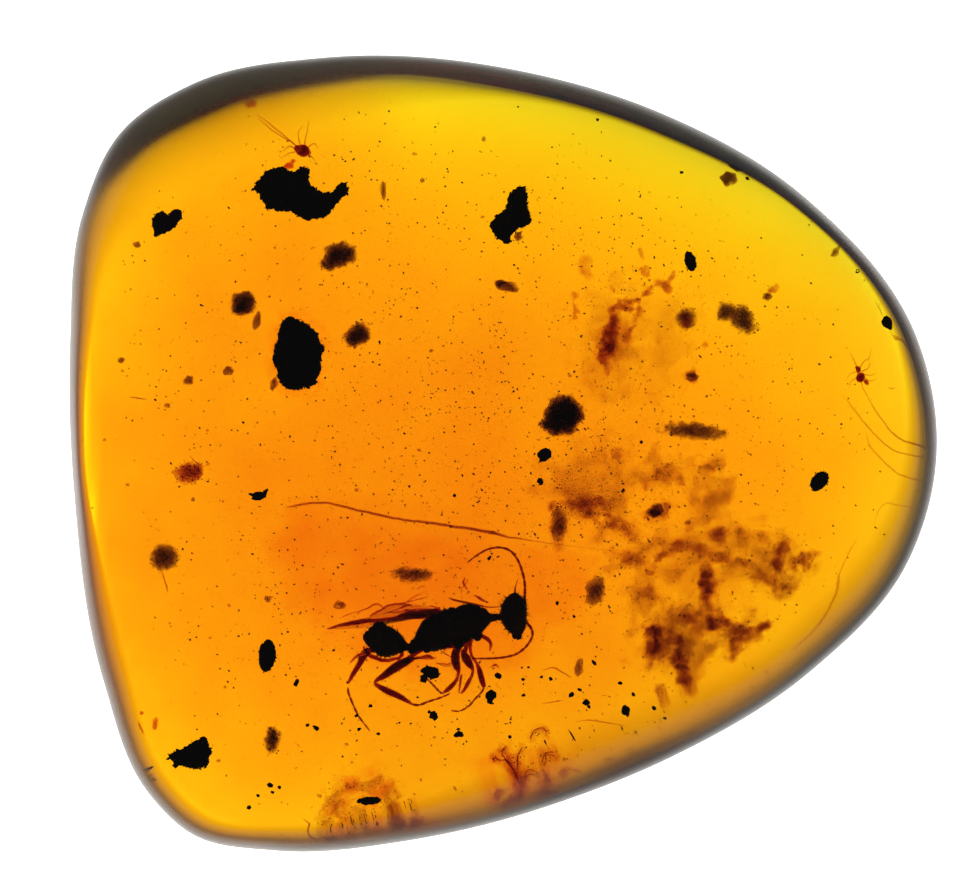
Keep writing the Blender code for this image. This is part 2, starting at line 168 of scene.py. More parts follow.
def soft_lamp(name, place, aim, size, radiance, cone):
    """A square lamp of that size at a place in mm, turned to aim at another."""
    lamp = bpy.data.lights.new(name, "AREA")
    lamp.size = size * MM
    lamp.energy = radiance * math.pi * (size * MM) ** 2
    lamp.spread = math.radians(cone)
    holder = bpy.data.objects.new(name, lamp)
    bpy.context.scene.collection.objects.link(holder)
    holder.location = Vector(place) * MM
    holder.rotation_euler = (Vector(aim) - Vector(place)).to_track_quat("-Z", "Y").to_euler()
    return holder


table = flat_square("light_table", TABLE_SIZE, -FLOOR_BELOW)
table.data.materials.append(table_material())

under = soft_lamp("table_lamp", (0, 0, -FLOOR_BELOW / 2), LAMP_AIM, LAMP_SIZE, LAMP_RADIANCE,
                  LAMP_CONE)
under.visible_camera = True

world = bpy.data.worlds.new("room")
world.use_nodes = True
sky = world.node_tree
outlook = add_node(sky, "ShaderNodeTexCoord")
direction = add_node(sky, "ShaderNodeSeparateXYZ", {"Vector": outlook.outputs["Generated"]})
glow = add_node(sky, "ShaderNodeMapRange", {
    "Value": direction.outputs["Z"], "From Min": 0.0, "From Max": HORIZON_UP_TO,
    "To Min": HORIZON_LIGHT, "To Max": OVERHEAD_LIGHT}, interpolation_type="SMOOTHSTEP")
sky.nodes["Background"].inputs["Color"].default_value = colour("FFFFFF")
sky.links.new(glow.outputs["Result"], sky.nodes["Background"].inputs["Strength"])
bpy.context.scene.world = world
bpy.context.scene.view_settings.view_transform = "Standard"

camera = bpy.data.objects.new("camera", bpy.data.cameras.new("camera"))
bpy.context.scene.collection.objects.link(camera)
camera.data.lens = LENS
camera.data.sensor_width = SENSOR
camera.data.clip_start = 0.001
distance = SEEN_WIDTH * LENS / SENSOR
camera.location = Vector((*SEEN_CENTRE, GIRDLE + distance)) * MM
bpy.context.scene.camera = camera
print(f"camera {distance:.1f} mm above the girdle")

# %% [markdown]
# ## The clear stone
# The outline, how wide the rounded edge is and how high its shoulder stands are each
# given at a few bearings round the stone, and a smooth closed curve runs through them.
# A ball of rings and spokes is then moved onto the stone: half its rings climb the
# rounded edge, and the rest cross the dome, or the belly with its flat. It is built ring
# by ring, so its faces come in the same order on each run, and so does the dust that is
# strewn from them at the end. The CAD model is parted at the girdle, with pockets; this
# is the whole stone, so it replaces both halves.

# %% the stone's shape
BELLY = 2.8                 # from the girdle down to the flat
BELLY_FLAT = 0.50           # the flat's reach, as a share of the stone's
AROUND = 288                # spokes, and
RINGS = 96                  # rings, of the ball that becomes the stone
EDGE_SHARE = 0.46           # share of the rings that climb the rounded edge
OUTLINE = [                 # bearing in degrees, distance from the middle to the edge
    (0, 11.03), (15, 10.94), (40, 10.08), (65, 9.55), (90, 9.82), (115, 11.10), (130, 12.28),
    (140, 12.70), (150, 12.32), (165, 11.38), (185, 10.93), (210, 11.70), (224, 12.48),
    (231, 12.48), (240, 11.65), (255, 10.23), (275, 9.12), (300, 8.84), (325, 9.60), (345, 10.66),
]
ROUNDING = [                # how wide the rounded edge is, seen from above
    (0, 1.0), (30, 0.5), (60, 0.7), (90, 0.95), (115, 1.9), (135, 2.6), (155, 1.1), (180, 0.5),
    (205, 0.9), (235, 0.85), (265, 1.5), (295, 1.9), (315, 1.5), (340, 1.5),
]
SHOULDER = [                # how high it stands where the dome begins, above the girdle
    (0, 1.45), (50, 1.1), (90, 1.15), (140, 1.8), (180, 2.2), (230, 1.9), (270, 1.8),
    (295, 1.8), (340, 1.6),
]


def round_the_stone(points, degrees):
    """The value at a bearing, on the smooth closed curve through (bearing, value) points."""
    angles = np.array([p[0] for p in points[-2:]], float) - 360.0
    angles = np.concatenate([angles, [p[0] for p in points], [p[0] + 360.0 for p in points[:3]]])
    values = np.array([p[1] for p in points[-2:] + points + points[:3]], float)
    step = np.diff(angles)
    slope = np.diff(values) / step
    tangent = np.zeros(len(angles))
    tangent[1:-1] = (slope[:-1] * step[1:] + slope[1:] * step[:-1]) / (step[1:] + step[:-1])
    i = int(np.searchsorted(angles, degrees % 360.0, side="right")) - 1
    t = (degrees % 360.0 - angles[i]) / step[i]
    return ((2 * t**3 - 3 * t**2 + 1) * values[i] + (t**3 - 2 * t**2 + t) * step[i] * tangent[i]
            + (3 * t**2 - 2 * t**3) * values[i + 1] + (t**3 - t**2) * step[i] * tangent[i + 1])


def stone_point(degrees, latitude):
    """A point of the polished surface, in mm, for a bearing and a latitude of the ball."""
    radius = round_the_stone(OUTLINE, degrees)
    rounding = round_the_stone(ROUNDING, degrees)
    shoulder = round_the_stone(SHOULDER, degrees)
    along = abs(latitude) / 90.0
    if along < EDGE_SHARE:
        turn = along / EDGE_SHARE * math.pi / 2
        reach = radius - rounding * (1 - math.cos(turn))
        lift = math.sin(turn)
    else:
        reach = (radius - rounding) * (1 - along) / (1 - EDGE_SHARE)
        lift = 1.0
    share = reach / radius
    if latitude > 0:
        height = lift * (shoulder + (CROWN - shoulder) * (1 - share**2))
    else:
        bend = max(0.0, (share - BELLY_FLAT) / (1 - BELLY_FLAT))
        height = -lift * (shoulder + (BELLY - shoulder) * (1 - bend**2))
    bearing = math.radians(degrees)
    return reach * math.cos(bearing), reach * math.sin(bearing), GIRDLE + height


# %% [markdown]
# ## Amber and what is clear like it
# Polished amber has the index of hard resin, 1.54, a mirror gloss, and hardly takes any
# red, some green and nearly all blue, so thin resin is yellow and thick resin orange.
# What is sealed in it and lets light through, such as a wing or a thin leg, touches the
# resin everywhere: nothing bends or glints where they meet. Such a piece gets an index
# of 1.0, because a shader takes the index against what surrounds the piece.

# %% clear materials
AMBER_INDEX = 1.54
SAME_AS_RESIN = 1.0         # index of a clear thing that the resin touches all round


def clear_material(name, takes_per_mm, index=SAME_AS_RESIN):
    """A clear stuff, from the red, green and blue light that it takes per mm."""
    material, tree, shader = principled(name, IOR=index, Roughness=0.0, Transmission_Weight=1.0)
    shader.inputs["Base Color"].default_value = colour("FFFFFF")
    most = max(takes_per_mm)
    left = [1 - take / most for take in takes_per_mm]
    haze = add_node(tree, "ShaderNodeVolumeAbsorption", {
        "Color": (*left, 1.0), "Density": most / MM})
    tree.links.new(haze.outputs["Volume"], tree.nodes["Material Output"].inputs["Volume"])
    return material


EDGE_WEAR = 0.32            # roughness of the ground edge, which is worn and scratched
WEAR_BEGINS, WEAR_FULL = 0.05, 0.6      # where on the rounded edge, 0 its inner side, 1 the girdle
RIM_SHADE_TINT = "F2CDA2"        # painted rim shade: darkens and reddens the light through the rounded edge towards the girdle


def wear_and_shade_the_edge(material):
    """Fine wear and a painted rim shade, from the attribute "edge": 1 on the girdle, 0 where the dome or
    belly starts.
    """
    tree = material.node_tree
    edge = add_node(tree, "ShaderNodeAttribute", attribute_name="edge")
    wear = add_node(tree, "ShaderNodeMapRange", {
        "Value": edge.outputs["Fac"], "From Min": WEAR_BEGINS, "From Max": WEAR_FULL,
        "To Max": EDGE_WEAR}, interpolation_type="SMOOTHSTEP")
    # painted rim shade: the base colour turns from white to the rim tint towards the girdle
    crust = add_node(tree, "ShaderNodeMix", {
        "Factor": edge.outputs["Fac"], "A": colour("FFFFFF"), "B": colour(RIM_SHADE_TINT)},
        data_type="RGBA")
    shader = tree.nodes["Principled BSDF"]
    tree.links.new(wear.outputs["Result"], shader.inputs["Roughness"])
    tree.links.new(crust.outputs["Result"], shader.inputs["Base Color"])


AMBER = clear_material("polished_amber", (0.09, 0.175, 1.45), AMBER_INDEX)
wear_and_shade_the_edge(AMBER)

# %% make the stone
def ball(name, around, rings, place):
    """A closed ball of rings and spokes, each vertex moved by place(bearing, latitude)."""
    spots = [(360.0 * spoke / around, 180.0 * ring / rings - 90.0)
             for ring in range(1, rings) for spoke in range(around)]
    last_ring = len(spots) - around
    low_pole, high_pole = len(spots), len(spots) + 1
    spots += [(0.0, -90.0), (0.0, 90.0)]
    faces = []
    for one in range(around):
        two = (one + 1) % around
        faces.append((low_pole, two, one))
        faces += [(ring + two, ring + around + two, ring + around + one, ring + one)
                  for ring in range(0, last_ring, around)]
        faces.append((high_pole, last_ring + one, last_ring + two))
    mesh = bpy.data.meshes.new(name)
    mesh.from_pydata([Vector(place(*spot)) * MM for spot in spots], [], faces)
    edge = [max(0.0, 1 - abs(latitude) / 90.0 / EDGE_SHARE) for _, latitude in spots]
    mesh.attributes.new("edge", "FLOAT", "POINT").data.foreach_set("value", edge)
    mesh.shade_smooth()
    return mesh


def new_piece(name, mesh, material):
    """An object of that mesh, at the origin, with its material."""
    piece = bpy.data.objects.new(name, mesh)
    bpy.context.scene.collection.objects.link(piece)
    mesh.materials.clear()
    mesh.materials.append(material)
    return piece


def seal_in(piece, slot, *stands_for):
    """The piece rides on the stone and stands for those CAD nodes; slot is not used."""
    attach(piece, "root")
    if stands_for:
        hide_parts(*stands_for)
    print(f"{piece.name}: {len(piece.data.polygons)} faces")


stone = new_piece("amber_stone", ball("amber_stone", AROUND, RINGS, stone_point), AMBER)
seal_in(stone, "amber", "amber_upper", "amber_lower")

# %% [markdown]
# ## Sheets with a thickness
# Much of what is sealed in amber has no surface to speak of: fluff, rotten wood, a darker
# flow of resin. And a crumb is known by its outline. Both are made the same way, as one
# closed sheet that is as thick in each place as its marks say: oval spots, brush strokes
# and outlined patches. With a round profile it is a crumb, and with a soft one, of a
# clear stuff that only takes light away, it is a cloud that thins to nothing. A fractal
# breaks up the edge and the thickness, and the sheet always stays inside the stone.

# %% how thick each kind of mark is
STONE_SKIN = 0.12           # least depth of resin over anything sealed in it, in mm
FAR_OFF = 9.0               # further from any mark than anything is, in mm
BEARINGS = np.arange(0.0, 361.0, 2.0)
ROUND = {label: [float(round_the_stone(points, b)) for b in BEARINGS] for label, points in (
    ("radius", OUTLINE), ("rounding", ROUNDING), ("shoulder", SHOULDER))}


def stone_room(x, y, margin=0.0):
    """How high and how low the stone reaches at x, y, in mm from the girdle."""
    bearing = np.degrees(np.arctan2(y, x)) % 360.0
    radius, rounding, shoulder = (np.interp(bearing, BEARINGS, ROUND[label])
                                  for label in ("radius", "rounding", "shoulder"))
    reach = np.hypot(x, y) + margin
    share = reach / radius
    into_edge = np.clip((reach - radius + rounding) / rounding, 0.0, 1.0)
    lift = np.sqrt(1 - into_edge**2)
    bend = np.clip((share - BELLY_FLAT) / (1 - BELLY_FLAT), 0.0, None)
    top = lift * (shoulder + (CROWN - shoulder) * (1 - share**2))
    return top, -lift * (shoulder + (BELLY - shoulder) * (1 - bend**2))


def spot_depth(x, y, spot):
    """How deep in an oval spot (x, y, half length, half width, degrees, thickness), in mm."""
    middle_x, middle_y, length, width, degrees, thickness = spot
    turn = math.radians(degrees)
    across = (x - middle_x) * math.cos(turn) + (y - middle_y) * math.sin(turn)
    up = (y - middle_y) * math.cos(turn) - (x - middle_x) * math.sin(turn)
    full_at = min(length, width)
    return thickness, full_at, (1 - np.hypot(across / length, up / width)) * full_at


def to_line(x, y, start, end):
    """The distance to a line from start to end, and the share along it of the nearest point."""
    run_x, run_y = end[0] - start[0], end[1] - start[1]
    along = np.clip(((x - start[0]) * run_x + (y - start[1]) * run_y) / (run_x**2 + run_y**2), 0, 1)
    return np.hypot(x - start[0] - along * run_x, y - start[1] - along * run_y), along


def stroke_depth(x, y, stroke):
    """How deep in a brush stroke: a thickness, then its points (x, y, half width)."""
    thickness, *knots = stroke
    deepest = np.full(x.shape, -FAR_OFF)
    for start, end in zip(knots, knots[1:]):
        away, along = to_line(x, y, start, end)
        deepest = np.maximum(deepest, start[2] + along * (end[2] - start[2]) - away)
    return thickness, max(knot[2] for knot in knots), deepest


def patch_depth(x, y, patch):
    """How deep in an outlined patch: a thickness, how far in it is full, its outline of (x, y)."""
    thickness, full_at, outline = patch
    away, within = np.full(x.shape, FAR_OFF), np.zeros(x.shape, bool)
    for start, end in zip(outline, outline[1:] + outline[:1]):
        away = np.minimum(away, to_line(x, y, start, end)[0])
        if start[1] != end[1]:
            crossing = start[0] + (y - start[1]) * (end[0] - start[0]) / (end[1] - start[1])
            within ^= ((start[1] > y) != (end[1] > y)) & (x < crossing)
    return thickness, full_at, np.where(within, away, -away)


# %% a sheet that is as thick as its marks say
FRACTAL = (0.85, 2.1, 6)    # how fast finer bumps fade, how much finer each round, rounds
ROUND_A_MARK = 1.2          # how far to look round a mark, in its own half widths
ROUND_A_PATCH = 0.1         # and round a patch's outline, in mm
LEAST_THICKNESS = 0.005     # a sheet thinner than this, in mm, is nothing
MOST_PATCHY = 2.5           # the most that the fractal multiplies a thickness by
SLOW_BENDS = 0.5            # bumps to the mm in the way a sheet bends up and down
PATCHY_SEED, BEND_SEED = 4.5, 9.0


def fractal_map(x, y, seed, fineness):
    """A fractal's value at each x, y, from about -1 to 1, with that many bumps to the mm."""
    values = [noise.fractal(Vector((a * fineness, b * fineness, seed)), *FRACTAL)
              for a, b in zip(x.flat, y.flat)]
    return np.array(values).reshape(x.shape)


def sealed_sheet(name, level, step, spots=(), strokes=(), patches=(), softness=2.0, ragged=0.0,
                 patchy=0.0, fineness=2.0, seed=0.0, bend=0.0, spread=0.0, keep_off=0.0):
    """The closed mesh of a sheet at that level: softness 0.5 is round, 2 thins softly to nothing.

    The grid that it is made on has that step. The marks reach the distance spread beyond their
    edges. The fractal moves an edge by up to ragged, a level by up to bend, and the thickness by
    the share patchy. The sheet fades out within keep_off of the edge of the stone. All in mm.
    """
    marks = [(m, max(m[2:4]) * ROUND_A_MARK) for m in spots]
    marks += [(m, m[2] * ROUND_A_MARK) for stroke in strokes for m in stroke[1:]]
    marks += [(m, ROUND_A_PATCH) for patch in patches for m in patch[2]]
    near = [(m[0] + k * reach, m[1] + k * reach) for m, reach in marks for k in (-1, 1)]
    low_x, low_y = np.min(near, 0) - step - spread
    high_x, high_y = np.max(near, 0) + step + spread
    x, y = np.meshgrid(np.arange(low_x, high_x + step, step), np.arange(low_y, high_y + step, step))
    edge_breakup = fractal_map(x, y, seed, fineness)
    breakup = fractal_map(x, y, seed + PATCHY_SEED, fineness) if patchy else edge_breakup
    cubes = np.zeros(x.shape)
    for read, marks in ((spot_depth, spots), (stroke_depth, strokes), (patch_depth, patches)):
        for mark in marks:
            thickness, full_at, deep = read(x, y, mark)
            share = np.clip((deep + spread + ragged * edge_breakup) / (full_at + spread), 0, 1)
            cubes += (thickness * (1 - (1 - share)**2)**softness)**3
    depth = np.cbrt(cubes) * np.clip(1 + patchy * breakup, 0.0, MOST_PATCHY)
    middle = level + bend * fractal_map(x, y, seed + BEND_SEED, SLOW_BENDS)
    top, bottom = stone_room(x / DOME_MAGNIFIES, y / DOME_MAGNIFIES, margin=1.5 * step + keep_off)
    upper = np.minimum(middle + depth / 2, top - STONE_SKIN)
    lower = np.maximum(middle - depth / 2, bottom + STONE_SKIN)
    thick = upper - lower > LEAST_THICKNESS
    edge_level = np.clip(middle, bottom, top)
    return skinned(name, x, y, np.where(thick, upper, edge_level),
                   np.where(thick, lower, edge_level), thick)


def skinned(name, x, y, upper, lower, thick):
    """The closed mesh between two height maps, joined where the sheet has no thickness."""
    corners, faces, known = [], [], {}

    def corner(place, height, side):
        key = (place, side if thick[place] else 0)
        if key not in known:
            known[key] = len(corners)
            corners.append(inside(x[place], y[place], height[place]))
        return known[key]

    used = thick[:-1, :-1] | thick[1:, :-1] | thick[:-1, 1:] | thick[1:, 1:]
    for row, column in zip(*np.nonzero(used)):
        a, b, c, d = (row, column), (row, column + 1), (row + 1, column + 1), (row + 1, column)
        for three in ((a, b, c), (a, c, d)):
            if any(thick[place] for place in three):
                faces.append([corner(place, upper, 1) for place in three])
                faces.append([corner(place, lower, -1) for place in reversed(three)])
    mesh = bpy.data.meshes.new(name)
    mesh.from_pydata(corners, [], faces)
    mesh.shade_smooth()
    return mesh


# %% [markdown]
# ## The darker flow
# The resin ran down the tree in flows, and the one in the middle of this stone is a
# deeper orange. It fades towards the edge, most of all at the upper right. A second,
# rustier one lies under the wasp, and its upper edge is a fine seam.

# %% the darker flow
DEEP_FLOW = clear_material("deeper_resin_flow", (0.10, 0.46, 0.80))    # turns yellow to orange
RUSTY_RESIN = clear_material("rusty_resin", (0.5, 3.0, 5.0))           # stained with bark tannin
FLOW_SPOTS = [(-2.5, -1.8, 14.5, 11.0, 0, 2.35), (-1.6, -3.1, 4.5, 2.6, 0, 0.9),
              (7.5, 0.0, 6.0, 6.5, 0, 1.1), (-6.5, 5.5, 5.5, 4.5, 30, 1.6)]
flow = new_piece("deep_flow", sealed_sheet(
    "deep_flow", -0.9, 0.2, FLOW_SPOTS, softness=1.0, patchy=0.12, fineness=0.6, seed=4.0,
    keep_off=0.4), DEEP_FLOW)
seal_in(flow, "amber")

# %% the rusty flow under the wasp and its seam
SEAM_SIDE = [   # the flow's outline: along the seam, then round below the wasp
    (-5.60, -1.36), (-4.60, -1.27), (-3.69, -1.46), (-2.72, -1.67), (-1.73, -1.79), (-0.76, -1.92),
    (0.05, -2.10), (1.20, -2.25), (2.70, -2.48), (2.60, -3.60), (1.30, -4.60), (0.20, -5.60),
    (-2.00, -5.90), (-4.20, -5.30), (-5.60, -4.00), (-6.20, -2.40)]
seam_flow = new_piece("seam_flow", sealed_sheet(
    "seam_flow", 0.95, 0.05, [(-2.9, -2.2, 3.4, 1.3, -8, 0.05)], patches=[(0.10, 0.9, SEAM_SIDE)],
    softness=1.0, ragged=0.25, patchy=0.6, fineness=1.1, seed=8.0), RUSTY_RESIN)
seal_in(seam_flow, "amber")

# %% [markdown]
# ## Threads, legs and feelers
# A leg, a feeler, a hair or a root is a thin tube that follows a path. One Geometry Nodes
# tree makes them all: it turns a row of vertices, each with its own thickness, into a
# smooth curve and sweeps a ring along it. It can pinch the tube at even steps, which is
# how a feeler or a foot gets its joints.

# %% helpers for Geometry Nodes
def new_tree(name, **sizes):
    """A Geometry Nodes tree with these named inputs, and its input and output nodes."""
    tree = bpy.data.node_groups.new(name, "GeometryNodeTree")
    kinds = {int: "NodeSocketInt", float: "NodeSocketFloat"}
    tree.interface.new_socket("Geometry", in_out="INPUT", socket_type="NodeSocketGeometry")
    tree.interface.new_socket("Material", in_out="INPUT", socket_type="NodeSocketMaterial")
    for label, value in sizes.items():
        socket = tree.interface.new_socket(
            label.replace("_", " "), in_out="INPUT", socket_type=kinds[type(value)])
        socket.default_value = value
    tree.interface.new_socket("Geometry", in_out="OUTPUT", socket_type="NodeSocketGeometry")
    return tree, add_node(tree, "NodeGroupInput").outputs, add_node(tree, "NodeGroupOutput")


def end_tree(tree, given, output, geometry):
    """The last nodes of every tree: real geometry, smooth, with its material."""
    real = add_node(tree, "GeometryNodeRealizeInstances", {"Geometry": geometry})
    smooth = add_node(tree, "GeometryNodeSetShadeSmooth", {"Geometry": real})
    made = add_node(tree, "GeometryNodeSetMaterial", {
        "Geometry": smooth, "Material": given["Material"]})
    tree.links.new(made.outputs["Geometry"], output.inputs["Geometry"])


def grown(name, mesh, tree, material, **sizes):
    """The plain piece that a tree makes of a starting mesh, with its named inputs set."""
    start = bpy.data.objects.new(name + "_start", mesh)
    bpy.context.scene.collection.objects.link(start)
    modifier = start.modifiers.new(tree.name, "NODES")
    modifier.node_group = tree
    wanted = {label.replace("_", " "): value for label, value in sizes.items()}
    wanted["Material"] = material
    for socket in tree.interface.items_tree:
        if socket.in_out == "INPUT" and socket.name in wanted:
            modifier[socket.identifier] = wanted[socket.name]
    view = bpy.context.evaluated_depsgraph_get()
    made = bpy.data.meshes.new_from_object(start.evaluated_get(view))
    bpy.data.objects.remove(start)
    made.name = name
    return new_piece(name, made, material)


def path_mesh(name, paths):
    """Rows of joined vertices, each path a list of (x, y, z, radius) in mm as seen."""
    places, joins, radii = [], [], []
    for path in paths:
        first = len(places)
        places += [inside(x, y, z) for x, y, z, _ in path]
        radii += [radius * MM for *_, radius in path]
        joins += [(first + i, first + i + 1) for i in range(len(path) - 1)]
    mesh = bpy.data.meshes.new(name)
    mesh.from_pydata(places, joins, [])
    mesh.attributes.new("thickness", "FLOAT", "POINT").data.foreach_set("value", radii)
    return mesh


def level_paths(rows):
    """Paths that each lie at one height: the height, then the points as (x, y, radius)."""
    return [[(x, y, z, radius) for x, y, radius in points] for z, *points in rows]


WANDERS_PER_MM = 4.0        # how often a thread strays to one side
WANDER_DETAIL = 3.0
JOINT_BELLY = 0.45          # under 1 makes a joint full in its middle, with a sharp waist


def thread_tree():
    """Smooth tubes along paths, pinched at even steps where Joints is more than 0."""
    tree, given, output = new_tree("threads", Sides=8, Steps=6, Joints=0, Pinch=0.35, Wander=0.0,
                                   Seed=1)
    curve = add_node(tree, "GeometryNodeMeshToCurve", {"Mesh": given["Geometry"]})
    smooth = add_node(tree, "GeometryNodeCurveSplineType", {"Curve": curve},
                      spline_type="CATMULL_ROM")
    steps = add_node(tree, "GeometryNodeSetSplineResolution", {
        "Geometry": smooth, "Resolution": given["Steps"]})
    points = add_node(tree, "GeometryNodeResampleCurve", {"Curve": steps}, mode="EVALUATED")
    spot = add_node(tree, "GeometryNodeInputPosition")
    stray = add_node(tree, "ShaderNodeTexNoise", {
        "Vector": spot, "W": given["Seed"], "Scale": WANDERS_PER_MM / MM,
        "Detail": WANDER_DETAIL},
        noise_dimensions="4D")
    level = add_node(tree, "ShaderNodeVectorMath", {
        0: stray.outputs["Color"], 1: (0.5, 0.5, 0.5)}, operation="SUBTRACT")
    drift = add_node(tree, "ShaderNodeVectorMath", {0: level, "Scale": given["Wander"]},
                     operation="SCALE")
    moved = add_node(tree, "GeometryNodeSetPosition", {"Geometry": points, "Offset": drift})
    along = add_node(tree, "GeometryNodeSplineParameter")
    turns = add_node(tree, "ShaderNodeMath", {0: along.outputs["Factor"], 1: given["Joints"]},
                     operation="MULTIPLY")
    phase = add_node(tree, "ShaderNodeMath", {0: turns, 1: math.pi}, operation="MULTIPLY")
    wave = add_node(tree, "ShaderNodeMath", {0: phase}, operation="SINE")
    swell = add_node(tree, "ShaderNodeMath", {0: wave}, operation="ABSOLUTE")
    full = add_node(tree, "ShaderNodeMath", {0: swell, 1: JOINT_BELLY}, operation="POWER")
    waist = add_node(tree, "ShaderNodeMath", {0: 1.0, 1: given["Pinch"]}, operation="SUBTRACT")
    pinched = add_node(tree, "ShaderNodeMapRange", {
        "Value": full, "To Min": waist, "To Max": 1.0})
    jointed = add_node(tree, "ShaderNodeMath", {0: given["Joints"], 1: 0.5},
                       operation="GREATER_THAN")
    shape = add_node(tree, "ShaderNodeMix", {"Factor": jointed, "A": 1.0, "B": pinched},
                     data_type="FLOAT")
    thick = add_node(tree, "GeometryNodeInputNamedAttribute", {"Name": "thickness"},
                     data_type="FLOAT")
    radius = add_node(tree, "ShaderNodeMath", {0: thick, 1: shape}, operation="MULTIPLY")
    ring = add_node(tree, "GeometryNodeCurvePrimitiveCircle", {
        "Resolution": given["Sides"], "Radius": 1.0})
    tube = add_node(tree, "GeometryNodeCurveToMesh", {
        "Curve": moved, "Profile Curve": ring.outputs["Curve"], "Scale": radius,
        "Fill Caps": True})
    end_tree(tree, given, output, tube)
    return tree


THREADS = thread_tree()

# %% [markdown]
# ## Grains on a surface
# Old bark and soil crumble, so each crumb wears a crust of its own grains. Insects wear
# short hairs. Both come from a tree that scatters points on a surface and stands a small
# shape on each, turned and sized at random from a fixed seed.

# %% trees that scatter
SQUARE_MM = 1e6                     # in a square metre
ANY_TURN = (6.28, 6.28, 6.28)       # a whole turn about each axis, in radians
GRAIN_LEAST = (0.5, 0.5, 0.4)       # a grain's shape, as shares of its size
GRAIN_MOST = (1.3, 1.0, 0.9)
HAIR_LEAST, HAIR_MOST = 0.5, 1.2    # a hair's size, as a share of the usual
STRAY_SEED = 3


def strewn_points(tree, given):
    """Random points on the given surface, as many to the square mm as the input says."""
    density = add_node(tree, "ShaderNodeMath", {0: given["Per square mm"], 1: SQUARE_MM},
                       operation="MULTIPLY")
    return add_node(tree, "GeometryNodeDistributePointsOnFaces", {
        "Mesh": given["Geometry"], "Density": density, "Seed": given["Seed"]})


def turned_specks(tree, points, scale, turn_seed):
    """A small faceted ball on each point, scaled, and turned at random."""
    speck = add_node(tree, "GeometryNodeMeshIcoSphere", {"Radius": MM, "Subdivisions": 1})
    specks = add_node(tree, "GeometryNodeInstanceOnPoints", {
        "Points": points, "Instance": speck.outputs["Mesh"], "Scale": scale})
    spin = add_node(tree, "FunctionNodeRandomValue", {"Max": ANY_TURN, "Seed": turn_seed},
                    data_type="FLOAT_VECTOR")
    return add_node(tree, "GeometryNodeRotateInstances", {"Instances": specks, "Rotation": spin})


def grain_tree():
    """Grains with few faces, on a surface or scattered up to that far from it."""
    tree, given, output = new_tree("grains", Per_square_mm=60.0, Smallest=0.02, Largest=0.06,
                                   Scatter=0.0, Seed=1)
    points = strewn_points(tree, given)
    size = add_node(tree, "FunctionNodeRandomValue", {
        "Min": given["Smallest"], "Max": given["Largest"], "Seed": given["Seed"]})
    squash = add_node(tree, "FunctionNodeRandomValue", {
        "Min": GRAIN_LEAST, "Max": GRAIN_MOST, "Seed": given["Seed"]}, data_type="FLOAT_VECTOR")
    scale = add_node(tree, "ShaderNodeVectorMath", {0: squash, "Scale": size}, operation="SCALE")
    draw = add_node(tree, "FunctionNodeRandomValue", {
        "Min": (-1.0, -1.0, -1.0), "Max": (1.0, 1.0, 1.0), "Seed": STRAY_SEED},
        data_type="FLOAT_VECTOR")
    how_far = add_node(tree, "ShaderNodeMath", {0: given["Scatter"], 1: MM}, operation="MULTIPLY")
    stray = add_node(tree, "ShaderNodeVectorMath", {0: draw, "Scale": how_far}, operation="SCALE")
    strewn = add_node(tree, "GeometryNodeSetPosition", {
        "Geometry": points.outputs["Points"], "Offset": stray})
    end_tree(tree, given, output, turned_specks(tree, strewn, scale, given["Seed"]))
    return tree


def hair_tree():
    """Short tapered hairs that lean at random from the surface they stand on."""
    tree, given, output = new_tree("hairs", Per_square_mm=80.0, Length=0.07, Root=0.004, Lean=0.9,
                                   Seed=1)
    points = strewn_points(tree, given)
    length = add_node(tree, "ShaderNodeMath", {0: given["Length"], 1: MM}, operation="MULTIPLY")
    root = add_node(tree, "ShaderNodeMath", {0: given["Root"], 1: MM}, operation="MULTIPLY")
    hair = add_node(tree, "GeometryNodeMeshCone", {
        "Vertices": 4, "Radius Top": 0.0, "Radius Bottom": root, "Depth": length})
    size = add_node(tree, "FunctionNodeRandomValue", {
        "Min": HAIR_LEAST, "Max": HAIR_MOST, "Seed": given["Seed"]})
    hairs = add_node(tree, "GeometryNodeInstanceOnPoints", {
        "Points": points.outputs["Points"], "Instance": hair.outputs["Mesh"],
        "Rotation": points.outputs["Rotation"], "Scale": size})
    least = add_node(tree, "ShaderNodeMath", {0: given["Lean"], 1: -1.0}, operation="MULTIPLY")
    low = add_node(tree, "ShaderNodeCombineXYZ", {"X": least, "Y": least})
    high = add_node(tree, "ShaderNodeCombineXYZ", {"X": given["Lean"], "Y": given["Lean"]})
    lean = add_node(tree, "FunctionNodeRandomValue", {
        "Min": low, "Max": high, "Seed": given["Seed"]}, data_type="FLOAT_VECTOR")
    leaning = add_node(tree, "GeometryNodeRotateInstances", {"Instances": hairs, "Rotation": lean})
    end_tree(tree, given, output, leaning)
    return tree


GRAINS = grain_tree()
HAIRS = hair_tree()

# %% [markdown]
# ## Chitin
# An insect's skin is chitin. In a body that is a millimetre thick it lets no light
# through and is nearly black; in a leg or a feeler a tenth of that, it glows red-brown
# against the light. So the body is an opaque material, and the thin parts are a clear
# stuff that takes much more green and blue than red.

# %% chitin materials
SHADES_PER_MM = 2.5         # patches of a browner or blacker skin
PITS_PER_MM = 28.0
PIT_DEPTH = 0.006


